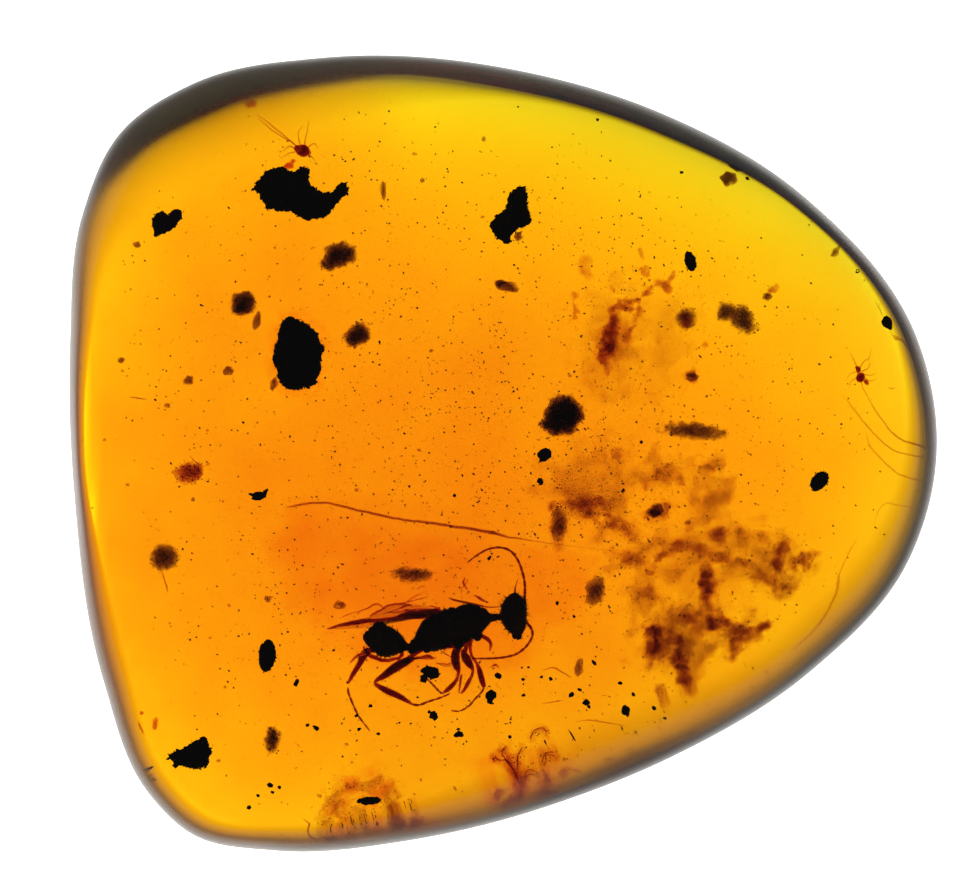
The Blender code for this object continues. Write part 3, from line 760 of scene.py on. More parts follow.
def dark_chitin():
    """Hard outer skin of an ant-like wasp: nearly black, fine pits, a dull gloss in resin."""
    material, tree, shader = principled("dark_chitin", Roughness=0.42, IOR=1.25,
                                        Coat_Weight=0.15, Coat_Roughness=0.25)
    place = add_node(tree, "ShaderNodeTexCoord")
    patches = add_node(tree, "ShaderNodeTexNoise", {
        "Vector": place.outputs["Object"], "Scale": SHADES_PER_MM / MM, "Detail": 4.0})
    shade = add_node(tree, "ShaderNodeMix", {
        "Factor": patches.outputs["Fac"], "A": colour("0B0605"), "B": colour("24100A")},
        data_type="RGBA")
    tree.links.new(shade.outputs["Result"], shader.inputs["Base Color"])
    pits = add_node(tree, "ShaderNodeTexVoronoi", {
        "Vector": place.outputs["Object"], "Scale": PITS_PER_MM / MM})
    relief = add_node(tree, "ShaderNodeBump", {
        "Height": pits.outputs["Distance"], "Strength": 0.5, "Distance": PIT_DEPTH * MM})
    tree.links.new(relief.outputs["Normal"], shader.inputs["Normal"])
    return material


DARK_CHITIN = dark_chitin()
THIN_CHITIN = clear_material("thin_chitin", (17.0, 42.0, 64.0))          # legs: red-brown
FEELER_CHITIN = clear_material("feeler_chitin", (30.0, 56.0, 80.0))      # finer, and darker
WING_CHITIN = clear_material("wing_membrane", (8.0, 14.0, 20.0))         # a smoky film

# %% [markdown]
# ## The wasp's body
# The wasp lies on its side with its head to the right and its wings folded back. Head,
# thorax and the hind body behind the narrow waist are each a stack of oval rings, given
# by where they lie along the body, how high they reach and how deep they are. The rings
# are skinned, melted into one skin by a voxel remesh, and the folds between the plates
# are pressed in.

# %% a skinned stack of rings
def ring_stack(form, rings, upright, sides=20):
    """Adds a closed skin over rings: (x, y, half height, half depth), standing upright or not."""
    loops = []
    for x, y, half, depth in rings:
        loop = []
        for k in range(sides):
            turn = 2 * math.pi * k / sides
            step = (0, half * math.cos(turn)) if upright else (half * math.cos(turn), 0)
            loop.append(form.verts.new(inside(x + step[0], y + step[1], depth * math.sin(turn))))
        loops.append(loop)
    for one, two in zip(loops, loops[1:]):
        for k in range(sides):
            form.faces.new((one[k], one[k - 1], two[k - 1], two[k]))
    form.faces.new(loops[0])
    form.faces.new(reversed(loops[-1]))


def softened(name, form, smooth_rounds, voxel=None):
    """The form's mesh, smoothed, and first melted into one skin if a voxel size in mm is given."""
    bmesh.ops.recalc_face_normals(form, faces=form.faces[:])
    mesh = bpy.data.meshes.new(name)
    form.to_mesh(mesh)
    form.free()
    rough = bpy.data.objects.new(name + "_rough", mesh)
    bpy.context.scene.collection.objects.link(rough)
    if voxel:
        remesh = rough.modifiers.new("melt", "REMESH")
        remesh.mode = "VOXEL"
        remesh.voxel_size = voxel * MM
    soften = rough.modifiers.new("soften", "SMOOTH")
    soften.factor = 0.5
    soften.iterations = smooth_rounds
    view = bpy.context.evaluated_depsgraph_get()
    made = bpy.data.meshes.new_from_object(rough.evaluated_get(view))
    bpy.data.objects.remove(rough)
    made.name = name
    made.shade_smooth()
    return made


def press(mesh, how_deep):
    """Moves every point along its normal by how_deep(point in mm as it lies), in mm."""
    count = len(mesh.vertices)
    places, normals = np.zeros(count * 3), np.zeros(count * 3)
    mesh.vertices.foreach_get("co", places)
    mesh.vertices.foreach_get("normal", normals)
    places, normals = places.reshape(-1, 3), normals.reshape(-1, 3)
    depths = np.array([how_deep(*(p / MM)) for p in places])
    mesh.vertices.foreach_set("co", (places + normals * depths[:, None] * MM).ravel())
    mesh.update()


# %% the wasp's body
HEAD = [    # down the face: x, y, half length, half depth
    (0.275, -3.50, 0.05, 0.08), (0.26, -3.57, 0.15, 0.24), (0.26, -3.68, 0.26, 0.36),
    (0.245, -3.80, 0.325, 0.43), (0.235, -3.98, 0.345, 0.45), (0.235, -4.13, 0.335, 0.43),
    (0.25, -4.29, 0.315, 0.38), (0.28, -4.43, 0.255, 0.28), (0.30, -4.52, 0.18, 0.20),
    (0.32, -4.59, 0.06, 0.10)]
THORAX = [  # from the neck back: x, y, half height, half depth
    (-0.36, -4.16, 0.10, 0.08), (-0.48, -4.16, 0.245, 0.18), (-0.66, -4.22, 0.395, 0.28),
    (-0.86, -4.26, 0.475, 0.36), (-1.14, -4.33, 0.50, 0.41), (-1.42, -4.42, 0.45, 0.43),
    (-1.68, -4.52, 0.495, 0.41), (-1.91, -4.56, 0.455, 0.38), (-2.11, -4.60, 0.37, 0.33),
    (-2.24, -4.74, 0.28, 0.23), (-2.37, -4.93, 0.16, 0.13), (-2.47, -5.02, 0.075, 0.08)]
HIND_BODY = [
    (-2.36, -4.97, 0.05, 0.06), (-2.44, -4.93, 0.065, 0.08), (-2.53, -4.88, 0.115, 0.14),
    (-2.62, -4.85, 0.205, 0.24), (-2.75, -4.80, 0.30, 0.32), (-2.86, -4.79, 0.355, 0.37),
    (-3.01, -4.77, 0.415, 0.40), (-3.13, -4.73, 0.46, 0.40), (-3.24, -4.70, 0.45, 0.37),
    (-3.38, -4.70, 0.345, 0.30), (-3.54, -4.70, 0.17, 0.16), (-3.63, -4.69, 0.05, 0.05)]
NECK = [(0.02, -4.10, 0.12, 0.12), (-0.14, -4.12, 0.085, 0.09), (-0.42, -4.16, 0.12, 0.12)]
LOBES = [   # smaller masses: x, y, z, half length, half height, half depth, degrees
    (0.36, -3.95, 0.30, 0.20, 0.29, 0.15, 8), (0.36, -3.95, -0.30, 0.20, 0.29, 0.15, 8),
    (0.50, -3.76, 0.12, 0.07, 0.09, 0.09, 0), (0.50, -4.20, -0.12, 0.07, 0.09, 0.09, 0),
    (0.37, -4.62, 0.05, 0.07, 0.11, 0.05, -30), (0.24, -4.60, -0.06, 0.06, 0.10, 0.05, 20),
    (-1.45, -3.98, 0.0, 0.20, 0.09, 0.22, 14), (-0.70, -4.62, 0.16, 0.14, 0.12, 0.12, 80),
    (-1.18, -4.80, 0.18, 0.16, 0.13, 0.13, 80), (-2.00, -4.92, 0.20, 0.15, 0.12, 0.12, 70),
    (-0.92, -3.84, 0.0, 0.07, 0.06, 0.07, 0), (-2.33, -4.86, 0.0, 0.10, 0.16, 0.10, 20)]
PLATE_FOLDS = [     # where one plate ends and the next begins: x, leaning, depth, width
    (-0.80, 0.28, 0.035, 0.030), (-1.33, 0.10, 0.030, 0.030), (-1.60, 0.18, 0.040, 0.035),
    (-2.77, -0.10, 0.022, 0.020), (-2.97, -0.10, 0.026, 0.020), (-3.19, -0.10, 0.026, 0.020),
    (-3.38, -0.10, 0.022, 0.018), (-3.50, -0.10, 0.018, 0.016)]
FOLDS_LEAN_ABOUT = -4.6     # the y, as seen, where a fold lies at its own x
SKIN_UNEVEN = 0.008         # how far the skin rises and falls, in mm
SKIN_BUMPS_PER_MM = 9
WASP_VOXEL = 0.022


def add_lobe(form, lobe, rough=0.0):
    """Adds a rounded mass to a form, placed as it is seen; rough is its unevenness, as a share."""
    x, y, z, length, height, depth, degrees = lobe
    turn = Matrix.Rotation(math.radians(degrees), 4, "Z")
    made = bmesh.ops.create_icosphere(form, subdivisions=3, radius=1.0)["verts"]
    for vertex in made:
        wobble = 1 + rough * noise.fractal(vertex.co * 1.7 + Vector((x, y, z)) * 5, 1.0, 2.0, 4)
        local = turn @ Vector((vertex.co.x * length, vertex.co.y * height, vertex.co.z * depth))
        vertex.co = inside(x + local.x * wobble, y + local.y * wobble, z + local.z * wobble)


def fold_depth(x, y, z):
    """The folds between the plates, and a fine unevenness all over."""
    seen_x, seen_y = x * DOME_MAGNIFIES, y * DOME_MAGNIFIES
    deep = 0.0
    for fold_x, leaning, depth, width in PLATE_FOLDS:
        off = seen_x - fold_x - leaning * (seen_y - FOLDS_LEAN_ABOUT)
        deep += depth * math.exp(-(off / width)**2)
    return SKIN_UNEVEN * noise.fractal(Vector((x, y, z)) * SKIN_BUMPS_PER_MM, 0.8, 2.0, 3) - deep


wasp_form = bmesh.new()
ring_stack(wasp_form, HEAD, upright=False)
for rings in (THORAX, HIND_BODY, NECK):
    ring_stack(wasp_form, rings, upright=True)
for lobe in LOBES:
    add_lobe(wasp_form, lobe)
wasp_skin = softened("wasp_body", wasp_form, 4, WASP_VOXEL)
press(wasp_skin, fold_depth)
wasp_body = new_piece("wasp_body", wasp_skin, DARK_CHITIN)
seal_in(wasp_body, "chitin", "wasp")

wasp_hair = grown("wasp_hair", wasp_skin, HAIRS, DARK_CHITIN, Per_square_mm=55.0, Length=0.14,
                  Root=0.010, Seed=3)
seal_in(wasp_hair, "chitin")

# %% [markdown]
# ## Legs and feelers
# Each leg has a thick thigh, a slimmer shin and a foot of five joints. The paths are
# given along the real legs, with the near legs a little nearer the dome. The
# feelers curl over and under the body, and each has thirteen joints.

# %% legs and feelers
LEGS = [    # coxa, thigh and shin: x, y, z, radius
    [(-0.94, -4.55, 0.24, 0.075), (-0.95, -4.74, 0.32, 0.055), (-1.00, -4.94, 0.38, 0.060),
     (-1.05, -5.05, 0.42, 0.085), (-1.00, -5.18, 0.44, 0.110), (-0.91, -5.34, 0.46, 0.100),
     (-0.83, -5.48, 0.47, 0.050), (-0.84, -5.62, 0.47, 0.040), (-0.94, -5.81, 0.46, 0.055),
     (-1.05, -6.01, 0.45, 0.045), (-1.14, -6.10, 0.44, 0.025)],
    [(-1.14, -4.72, 0.26, 0.090), (-1.17, -4.88, 0.34, 0.085), (-1.26, -5.05, 0.40, 0.110),
     (-1.27, -5.25, 0.44, 0.115), (-1.22, -5.44, 0.47, 0.090), (-1.19, -5.57, 0.49, 0.045),
     (-1.25, -5.76, 0.50, 0.050), (-1.40, -5.94, 0.49, 0.065), (-1.58, -6.08, 0.47, 0.040)],
    [(-0.86, -4.60, -0.20, 0.060), (-0.90, -4.86, -0.32, 0.050), (-0.86, -5.10, -0.36, 0.040),
     (-0.72, -5.32, -0.40, 0.045), (-0.66, -5.50, -0.44, 0.075), (-0.60, -5.74, -0.46, 0.080),
     (-0.55, -5.91, -0.46, 0.050)],
    [(-1.12, -5.58, -0.40, 0.030), (-1.15, -5.70, -0.42, 0.036), (-1.17, -5.88, -0.42, 0.030),
     (-1.20, -6.06, -0.40, 0.020)],
    [(-0.68, -4.50, -0.20, 0.07), (-0.59, -4.60, -0.34, 0.055), (-0.45, -4.68, -0.42, 0.058),
     (-0.37, -4.80, -0.47, 0.045), (-0.40, -4.97, -0.50, 0.025)],
    [(-2.02, -4.86, 0.22, 0.10), (-2.33, -5.10, 0.36, 0.06), (-2.50, -5.26, 0.42, 0.10),
     (-2.79, -5.43, 0.48, 0.12), (-3.09, -5.65, 0.51, 0.09), (-3.33, -5.84, 0.52, 0.045),
     (-3.08, -6.02, 0.51, 0.085), (-2.71, -6.19, 0.48, 0.08), (-2.40, -6.38, 0.45, 0.035)],
    [(-2.10, -4.78, -0.24, 0.08), (-2.90, -4.98, -0.50, 0.08), (-3.40, -4.98, -0.53, 0.075),
     (-3.60, -5.08, -0.54, 0.10), (-3.74, -5.34, -0.53, 0.075), (-3.92, -5.62, -0.51, 0.06),
     (-4.04, -5.84, -0.49, 0.03)],
    [(-3.58, -5.06, -0.50, 0.05), (-3.80, -5.15, -0.44, 0.035), (-3.97, -5.32, -0.40, 0.02)],
]
FEET = [    # five joints each
    [(-0.55, -5.91, -0.46, 0.034), (-0.62, -6.03, -0.45, 0.032), (-0.78, -6.20, -0.43, 0.032),
     (-0.96, -6.40, -0.40, 0.030), (-1.19, -6.52, -0.38, 0.028), (-1.41, -6.51, -0.36, 0.024)],
    [(-1.58, -6.10, 0.47, 0.030), (-1.68, -6.06, 0.45, 0.034), (-1.89, -5.84, 0.41, 0.032),
     (-2.04, -5.69, 0.38, 0.026)],
    [(-2.40, -6.38, 0.45, 0.038), (-2.22, -6.40, 0.43, 0.038), (-1.97, -6.31, 0.41, 0.036),
     (-1.67, -6.21, 0.39, 0.032), (-1.41, -6.10, 0.37, 0.024)],
    [(-4.05, -5.94, -0.48, 0.030), (-4.03, -6.10, -0.47, 0.036), (-3.91, -6.40, -0.45, 0.034),
     (-3.76, -6.70, -0.43, 0.032), (-3.50, -7.05, -0.41, 0.024)],
]
FEELERS = [
    [(0.50, -3.76, 0.14, 0.050), (0.53, -3.50, 0.26, 0.044), (0.52, -3.22, 0.34, 0.040),
     (0.46, -2.95, 0.38, 0.040), (0.35, -2.68, 0.38, 0.038), (0.17, -2.46, 0.37, 0.038),
     (-0.10, -2.37, 0.34, 0.036), (-0.42, -2.42, 0.30, 0.034), (-0.70, -2.57, 0.25, 0.030),
     (-0.95, -2.76, 0.21, 0.024)],
    [(0.50, -4.20, -0.14, 0.050), (0.64, -4.34, -0.26, 0.044), (0.71, -4.50, -0.34, 0.040),
     (0.67, -4.68, -0.39, 0.038), (0.50, -4.90, -0.43, 0.038), (0.26, -5.06, -0.46, 0.036),
     (-0.07, -5.14, -0.47, 0.036), (-0.48, -5.17, -0.47, 0.034), (-0.87, -5.17, -0.46, 0.024)],
]
LOOSE_HAIRS = [
    [(0.27, -3.54, 0.0, 0.035), (0.28, -3.36, 0.04, 0.024), (0.36, -3.14, 0.08, 0.010)],
    [(-1.44, -3.65, 0.30, 0.012), (-1.32, -3.70, 0.32, 0.030), (-1.05, -3.76, 0.32, 0.032),
     (-0.74, -3.81, 0.30, 0.026), (-0.44, -3.88, 0.28, 0.022), (-0.14, -3.87, 0.22, 0.018)],
    [(-0.92, -3.18, 0.30, 0.016), (-1.00, -3.30, 0.32, 0.016), (-1.10, -3.42, 0.33, 0.014),
     (-1.11, -3.54, 0.33, 0.010)],
    [(-1.60, -5.02, 0.45, 0.020), (-1.50, -5.10, 0.47, 0.020), (-1.38, -5.16, 0.48, 0.014)],
    [(-1.76, -5.32, 0.42, 0.014), (-1.52, -5.40, 0.45, 0.016), (-1.36, -5.38, 0.46, 0.012)],
    [(-1.13, -5.66, 0.20, 0.014), (-1.16, -5.84, 0.20, 0.016), (-1.20, -6.02, 0.20, 0.010)],
    [(-2.60, -5.22, 0.20, 0.030), (-2.20, -5.20, 0.22, 0.026), (-1.84, -5.22, 0.20, 0.014)],
]
FRINGES = [   # soft skin torn from the plates, and rags of it beside the wasp
    [(-3.62, -4.92, 0.20, 0.030), (-3.50, -5.10, 0.24, 0.055), (-3.28, -5.22, 0.24, 0.060),
     (-3.02, -5.27, 0.22, 0.050), (-2.76, -5.20, 0.20, 0.045), (-2.60, -5.06, 0.20, 0.060)],
    [(-2.78, -5.20, 0.30, 0.025), (-2.52, -5.29, 0.30, 0.050), (-2.22, -5.20, 0.30, 0.035),
     (-1.98, -5.16, 0.28, 0.050), (-1.76, -5.21, 0.26, 0.015)],
    [(-1.60, -4.96, 0.24, 0.045), (-1.42, -4.88, 0.26, 0.075), (-1.12, -4.84, 0.26, 0.060),
     (-0.96, -4.72, 0.22, 0.040)],
    [(-2.70, -4.72, 0.34, 0.020), (-2.62, -4.92, 0.36, 0.060), (-2.66, -5.06, 0.34, 0.045)],
    [(-0.80, -3.60, 0.30, 0.012), (-0.66, -3.63, 0.30, 0.040), (-0.54, -3.70, 0.30, 0.036),
     (-0.40, -3.76, 0.28, 0.015)],
    [(-0.98, -3.12, 0.30, 0.020), (-1.04, -3.30, 0.30, 0.032), (-0.96, -3.46, 0.30, 0.020)],
    [(-1.78, -5.30, 0.10, 0.014), (-1.50, -5.34, 0.12, 0.026), (-1.22, -5.30, 0.10, 0.012)],
    [(-0.40, -5.40, 0.20, 0.014), (-0.24, -5.32, 0.20, 0.034), (-0.12, -5.42, 0.20, 0.012)],
]
wasp_fringes = grown("wasp_fringes", path_mesh("fringes", FRINGES), THREADS, THIN_CHITIN,
                     Steps=12, Wander=0.16 * MM, Seed=6)
wasp_legs = grown("wasp_legs", path_mesh("legs", LEGS), THREADS, THIN_CHITIN, Sides=10, Steps=8)
leg_hair = grown("wasp_leg_hair", wasp_legs.data.copy(), HAIRS, DARK_CHITIN, Per_square_mm=40.0,
                 Length=0.10, Root=0.007, Seed=4)
wasp_feet = grown("wasp_feet", path_mesh("feet", FEET), THREADS, FEELER_CHITIN, Joints=5, Pinch=0.5,
                  Steps=16)
wasp_feelers = grown("wasp_feelers", path_mesh("feelers", FEELERS), THREADS, FEELER_CHITIN,
                     Joints=13, Pinch=0.45, Steps=12)
wasp_loose = grown("wasp_loose_hairs", path_mesh("loose", LOOSE_HAIRS), THREADS, FEELER_CHITIN,
                   Sides=6)
for piece in (wasp_legs, wasp_feet, wasp_feelers, wasp_loose, wasp_fringes, leg_hair):
    seal_in(piece, "chitin")

# %% [markdown]
# ## Wings
# Both fore wings lie folded along the back, one on each side of the body. Each is a film
# two hundredths of a millimetre thick, stiffened by veins, and its outline needs only a
# few points with a smooth curve through them. The loose veins beside it are from the hind
# wings, which are too thin to see.

# %% wings
WING_EDGE = [
    (-1.90, -3.90), (-2.52, -3.81), (-3.00, -3.90), (-3.18, -4.01), (-3.43, -4.16),
    (-3.76, -4.24), (-4.15, -4.34), (-4.53, -4.48), (-4.27, -4.50), (-3.90, -4.48),
    (-3.50, -4.44), (-3.10, -4.26), (-2.60, -4.18), (-1.95, -4.12)]
VEINS = [
    [(-1.65, -4.00, 0.30, 0.110), (-1.98, -4.07, 0.30, 0.115), (-2.49, -4.12, 0.31, 0.100),
     (-2.87, -4.20, 0.32, 0.055), (-3.33, -4.26, 0.31, 0.055), (-3.76, -4.32, 0.30, 0.065),
     (-4.15, -4.40, 0.30, 0.045), (-4.53, -4.49, 0.29, 0.020)],
    [(-3.43, -4.16, 0.33, 0.028), (-3.28, -4.06, 0.33, 0.030), (-3.13, -3.97, 0.33, 0.030),
     (-3.03, -3.89, 0.33, 0.030), (-2.85, -3.84, 0.33, 0.030), (-2.59, -3.80, 0.34, 0.030),
     (-2.36, -3.74, 0.34, 0.016), (-2.14, -3.69, 0.35, 0.020), (-1.93, -3.62, 0.36, 0.010)],
    [(-3.10, -3.93, 0.35, 0.020), (-3.18, -3.85, 0.35, 0.024), (-3.31, -3.85, 0.35, 0.026),
     (-3.48, -3.96, 0.34, 0.024), (-3.66, -4.04, 0.33, 0.020), (-3.87, -4.08, 0.33, 0.016),
     (-4.04, -4.16, 0.32, 0.018), (-4.20, -4.21, 0.31, 0.008)],
    [(-3.13, -4.08, 0.30, 0.014), (-2.92, -4.02, 0.30, 0.016), (-2.70, -3.93, 0.30, 0.018),
     (-2.57, -3.88, 0.30, 0.032), (-2.44, -3.85, 0.30, 0.030), (-2.34, -3.88, 0.30, 0.012)],
    [(-2.52, -3.78, 0.36, 0.012), (-2.32, -3.65, 0.36, 0.020), (-2.14, -3.56, 0.36, 0.016),
     (-1.96, -3.47, 0.35, 0.008)],
    [(-2.24, -3.45, 0.34, 0.016), (-2.11, -3.37, 0.34, 0.020), (-2.04, -3.34, 0.34, 0.010)],
    [(-1.93, -3.85, 0.32, 0.022), (-1.78, -3.89, 0.32, 0.024), (-1.65, -3.96, 0.31, 0.012)],
    [(-3.00, -4.06, 0.28, 0.016), (-2.62, -4.01, 0.28, 0.024), (-2.24, -3.96, 0.28, 0.028),
     (-1.86, -3.93, 0.28, 0.022)],
]
WING_FILM = 0.022           # thickness
WING_ROOT = -1.6            # the x, as seen, from which a wing leans
WING_SHAPES = (("wasp_wing_near", 0.27, -0.01), ("wasp_wing_far", -0.27, 0.01))    # level, lean


def wing_mesh(name, edge, level, lean):
    """A thin closed film inside a smooth outline, at that level at its root and leaning."""
    loop = []
    count = len(edge)
    for i in range(count):
        a, b, c, d = (Vector(edge[(i + k) % count]) for k in (-1, 0, 1, 2))
        for t in (0.0, 0.25, 0.5, 0.75):
            loop.append(0.5 * (2 * b + (c - a) * t + (2 * a - 5 * b + 4 * c - d) * t**2
                               + (3 * b - a - 3 * c + d) * t**3))
    form = bmesh.new()
    sides = []
    for side in (1, -1):
        rim = [form.verts.new(inside(p.x, p.y, level + lean * (p.x - WING_ROOT)
                                     + side * WING_FILM / 2)) for p in loop]
        form.faces.new(rim if side > 0 else reversed(rim))
        sides.append(rim)
    for i in range(len(loop)):
        form.faces.new((sides[0][i - 1], sides[1][i - 1], sides[1][i], sides[0][i]))
    bmesh.ops.triangulate(form, faces=[f for f in form.faces if len(f.verts) > 4])
    bmesh.ops.recalc_face_normals(form, faces=form.faces[:])
    mesh = bpy.data.meshes.new(name)
    form.to_mesh(mesh)
    form.free()
    return mesh


for name, level, lean in WING_SHAPES:
    seal_in(new_piece(name, wing_mesh(name, WING_EDGE, level, lean), WING_CHITIN), "chitin")
veins = grown("wasp_wing_veins", path_mesh("veins", VEINS), THREADS, THIN_CHITIN,
              Steps=12, Wander=0.09 * MM)
seal_in(veins, "chitin")

# %% [markdown]
# ## Crumbs of bark and soil
# The black crumbs are old bark: thick lumps with a ragged outline and a crust of grains.
# Each is a sheet with a round profile, and the tree of grains covers it. They replace the
# plain lumps of the CAD model in the same places.

# %% crumb materials
def crumb_material(name, dark, light, grain_mm):
    """Crumbled plant matter: no gloss, two shades in grains of that size."""
    material, tree, shader = principled(name, Roughness=0.95, Specular_IOR_Level=0.1)
    place = add_node(tree, "ShaderNodeTexCoord")
    grains = add_node(tree, "ShaderNodeTexVoronoi", {
        "Vector": place.outputs["Object"], "Scale": 1 / (grain_mm * MM)})
    stains = add_node(tree, "ShaderNodeTexNoise", {
        "Vector": place.outputs["Object"], "Scale": 0.2 / (grain_mm * MM), "Detail": 5.0})
    both = add_node(tree, "ShaderNodeMath", {0: grains.outputs["Distance"], 1: stains.outputs["Fac"]},
                    operation="MULTIPLY")
    shade = add_node(tree, "ShaderNodeMix", {
        "Factor": both, "A": colour(dark), "B": colour(light)}, data_type="RGBA")
    tree.links.new(shade.outputs["Result"], shader.inputs["Base Color"])
    relief = add_node(tree, "ShaderNodeBump", {
        "Height": both, "Strength": 0.8, "Distance": grain_mm * MM})
    tree.links.new(relief.outputs["Normal"], shader.inputs["Normal"])
    return material


OLD_BARK = crumb_material("old_bark", "060403", "2A1A10", 0.06)         # nearly black and matt
SOIL = crumb_material("soil_crumb", "140A04", "4A2C14", 0.05)           # earth, a shade browner

# %% the black crumbs
TAILED = [
    (-6.52, 6.70), (-6.32, 6.99), (-6.15, 7.17), (-6.00, 7.21), (-5.90, 7.26), (-5.75, 7.25),
    (-5.58, 7.17), (-5.41, 7.12), (-5.28, 7.21), (-5.18, 7.26), (-5.09, 7.17), (-5.09, 6.94),
    (-4.94, 6.70), (-4.81, 6.61), (-4.69, 6.57), (-4.49, 6.62), (-4.35, 6.61), (-4.34, 6.74),
    (-4.27, 6.83), (-4.11, 6.84), (-4.08, 6.65), (-4.12, 6.50), (-4.25, 6.42), (-4.39, 6.30),
    (-4.49, 6.15), (-4.64, 5.98), (-4.84, 5.93), (-5.04, 5.90), (-5.23, 5.98), (-5.38, 6.05),
    (-5.48, 6.15), (-5.68, 6.15), (-5.85, 6.15), (-5.98, 6.25), (-6.12, 6.25), (-6.20, 6.40),
    (-6.30, 6.55), (-6.40, 6.70),
]
OVAL = [
    (-5.58, 3.43), (-5.46, 3.51), (-5.28, 3.43), (-5.11, 3.36), (-4.91, 3.23), (-4.79, 3.06),
    (-4.69, 2.84), (-4.61, 2.74), (-4.64, 2.49), (-4.68, 2.20), (-4.74, 1.95), (-4.81, 1.78),
    (-4.99, 1.70), (-5.23, 1.66), (-5.48, 1.65), (-5.65, 1.75), (-5.75, 1.95), (-5.83, 2.20),
    (-5.87, 2.49), (-5.83, 2.79), (-5.75, 3.04), (-5.70, 3.28),
]
TWO_LOBED = [
    (0.36, 6.79), (0.53, 6.75), (0.56, 6.55), (0.58, 6.32), (0.61, 6.12), (0.65, 5.99),
    (0.66, 5.84), (0.51, 5.77), (0.33, 5.66), (0.20, 5.58), (0.13, 5.43), (0.05, 5.28),
    (-0.08, 5.35), (-0.20, 5.48), (-0.31, 5.58), (-0.37, 5.71), (-0.37, 5.84), (-0.31, 5.91),
    (-0.18, 6.02), (-0.05, 6.14), (0.04, 6.17), (0.03, 6.29), (0.08, 6.42), (0.13, 6.55),
    (0.18, 6.68), (0.25, 6.71),
]
HEART = [
    (-9.00, 6.09), (-8.90, 6.19), (-8.77, 6.22), (-8.72, 6.17), (-8.62, 6.12), (-8.55, 6.24),
    (-8.44, 6.29), (-8.34, 6.27), (-8.28, 6.17), (-8.32, 6.04), (-8.44, 5.89), (-8.57, 5.76),
    (-8.72, 5.68), (-8.88, 5.63), (-8.98, 5.60), (-9.00, 5.74), (-9.04, 5.89), (-9.04, 6.02),
]
RAGGED = [
    (-7.68, -7.31), (-7.63, -7.44), (-7.58, -7.57), (-7.50, -7.67), (-7.58, -7.77), (-7.60, -7.92),
    (-7.66, -8.02), (-7.78, -8.10), (-7.94, -8.13), (-8.06, -8.10), (-8.19, -8.05), (-8.34, -8.05),
    (-8.47, -8.08), (-8.52, -7.97), (-8.57, -7.90), (-8.65, -7.87), (-8.57, -7.74), (-8.47, -7.69),
    (-8.42, -7.62), (-8.32, -7.67), (-8.24, -7.54), (-8.11, -7.52), (-7.99, -7.46), (-7.83, -7.36),
]

BLACK_CRUMBS = {    # CAD node: level, how ragged its edge is, spots, patches
    "crumb_tailed": (-0.58, 0.055, [], [(0.72, 0.34, TAILED)]),
    "crumb_oval": (-0.75, 0.055, [], [(0.96, 0.50, OVAL)]),
    "crumb_heart": (0.50, 0.02, [], [(0.44, 0.22, HEART)]),
    "crumb_two_lobed": (0.55, 0.055, [], [(0.58, 0.28, TWO_LOBED)]),
    "crumb_ragged": (0.10, 0.055, [], [(0.54, 0.28, RAGGED)]),
    "seed_left": (-0.45, 0.02, [(-6.05, -5.20, 0.40, 0.21, 84, 0.44)], []),
    "seed_right": (0.42, 0.02, [(8.09, -0.70, 0.28, 0.19, 48, 0.38)], []),
    "pellet_right": (0.40, 0.02, [(4.78, 4.85, 0.25, 0.13, 108, 0.28)], []),
    "splinter_low": (0.60, 0.02, [(-3.50, -8.90, 0.30, 0.09, 4, 0.20)], []),
    "crumb_under_wasp": (-0.85, 0.04, [(-1.93, -5.52, 0.24, 0.15, -15, 0.32),
                                       (-2.10, -5.68, 0.12, 0.07, 50, 0.16)], []),
}
for seed, (name, (level, ragged, spots, patches)) in enumerate(BLACK_CRUMBS.items(), 1):
    lump = sealed_sheet(name + "_detail", level, 0.022, spots, patches=patches, softness=0.5,
                        ragged=ragged, fineness=7.0, seed=seed * 7.0, bend=0.05)
    crust = grown(name + "_crust", lump.copy(), GRAINS, OLD_BARK, Per_square_mm=90.0,
                  Smallest=0.012, Largest=0.2 * ragged + 0.03, Scatter=0.03, Seed=seed)
    seal_in(new_piece(name + "_detail", lump, OLD_BARK), "black_debris", name)
    seal_in(crust, "black_debris")

halo = sealed_sheet("crumb_oval_halo", -0.75, 0.035, patches=[(0.16, 0.5, OVAL)], softness=1.5,
                    ragged=0.22, patchy=1.2, fineness=4.0, seed=3.0, spread=0.30)
seal_in(new_piece("crumb_oval_halo", halo, RUSTY_RESIN), "red_debris")

# %% [markdown]
# ## Fluffy clods
# The brown clods are loose: rotten wood that the resin soaked. Light still gets through
# near their edges, so each is a soft-edged sheet of a brown clear stuff, with the darkest
# part at its middle, and a scatter of grains keeps it from looking like glass.

# %% the clods
DENSE_FLUFF = clear_material("dense_wood_fluff", (10.5, 13.5, 16.0))     # brown, nearly shut
RED_FLUFF = clear_material("red_plant_fluff", (5.0, 10.5, 15.0))         # lets red through
CLOD_CENTRE = [
    (1.20, 1.36), (1.35, 1.44), (1.53, 1.46), (1.70, 1.44), (1.91, 1.31), (2.03, 1.11),
    (2.06, 0.90), (1.96, 0.75), (1.86, 0.60), (1.70, 0.47), (1.45, 0.45), (1.20, 0.50),
    (1.02, 0.60), (0.94, 0.75), (1.07, 0.98), (1.14, 1.16),
]
CLOD_UPPER_LEFT = [
    (-4.60, 5.25), (-4.40, 5.35), (-4.20, 5.40), (-3.99, 5.30), (-3.84, 5.28), (-3.79, 5.10),
    (-3.84, 4.92), (-4.02, 4.82), (-4.25, 4.72), (-4.48, 4.64), (-4.65, 4.72), (-4.71, 4.87),
    (-4.63, 5.05),
]
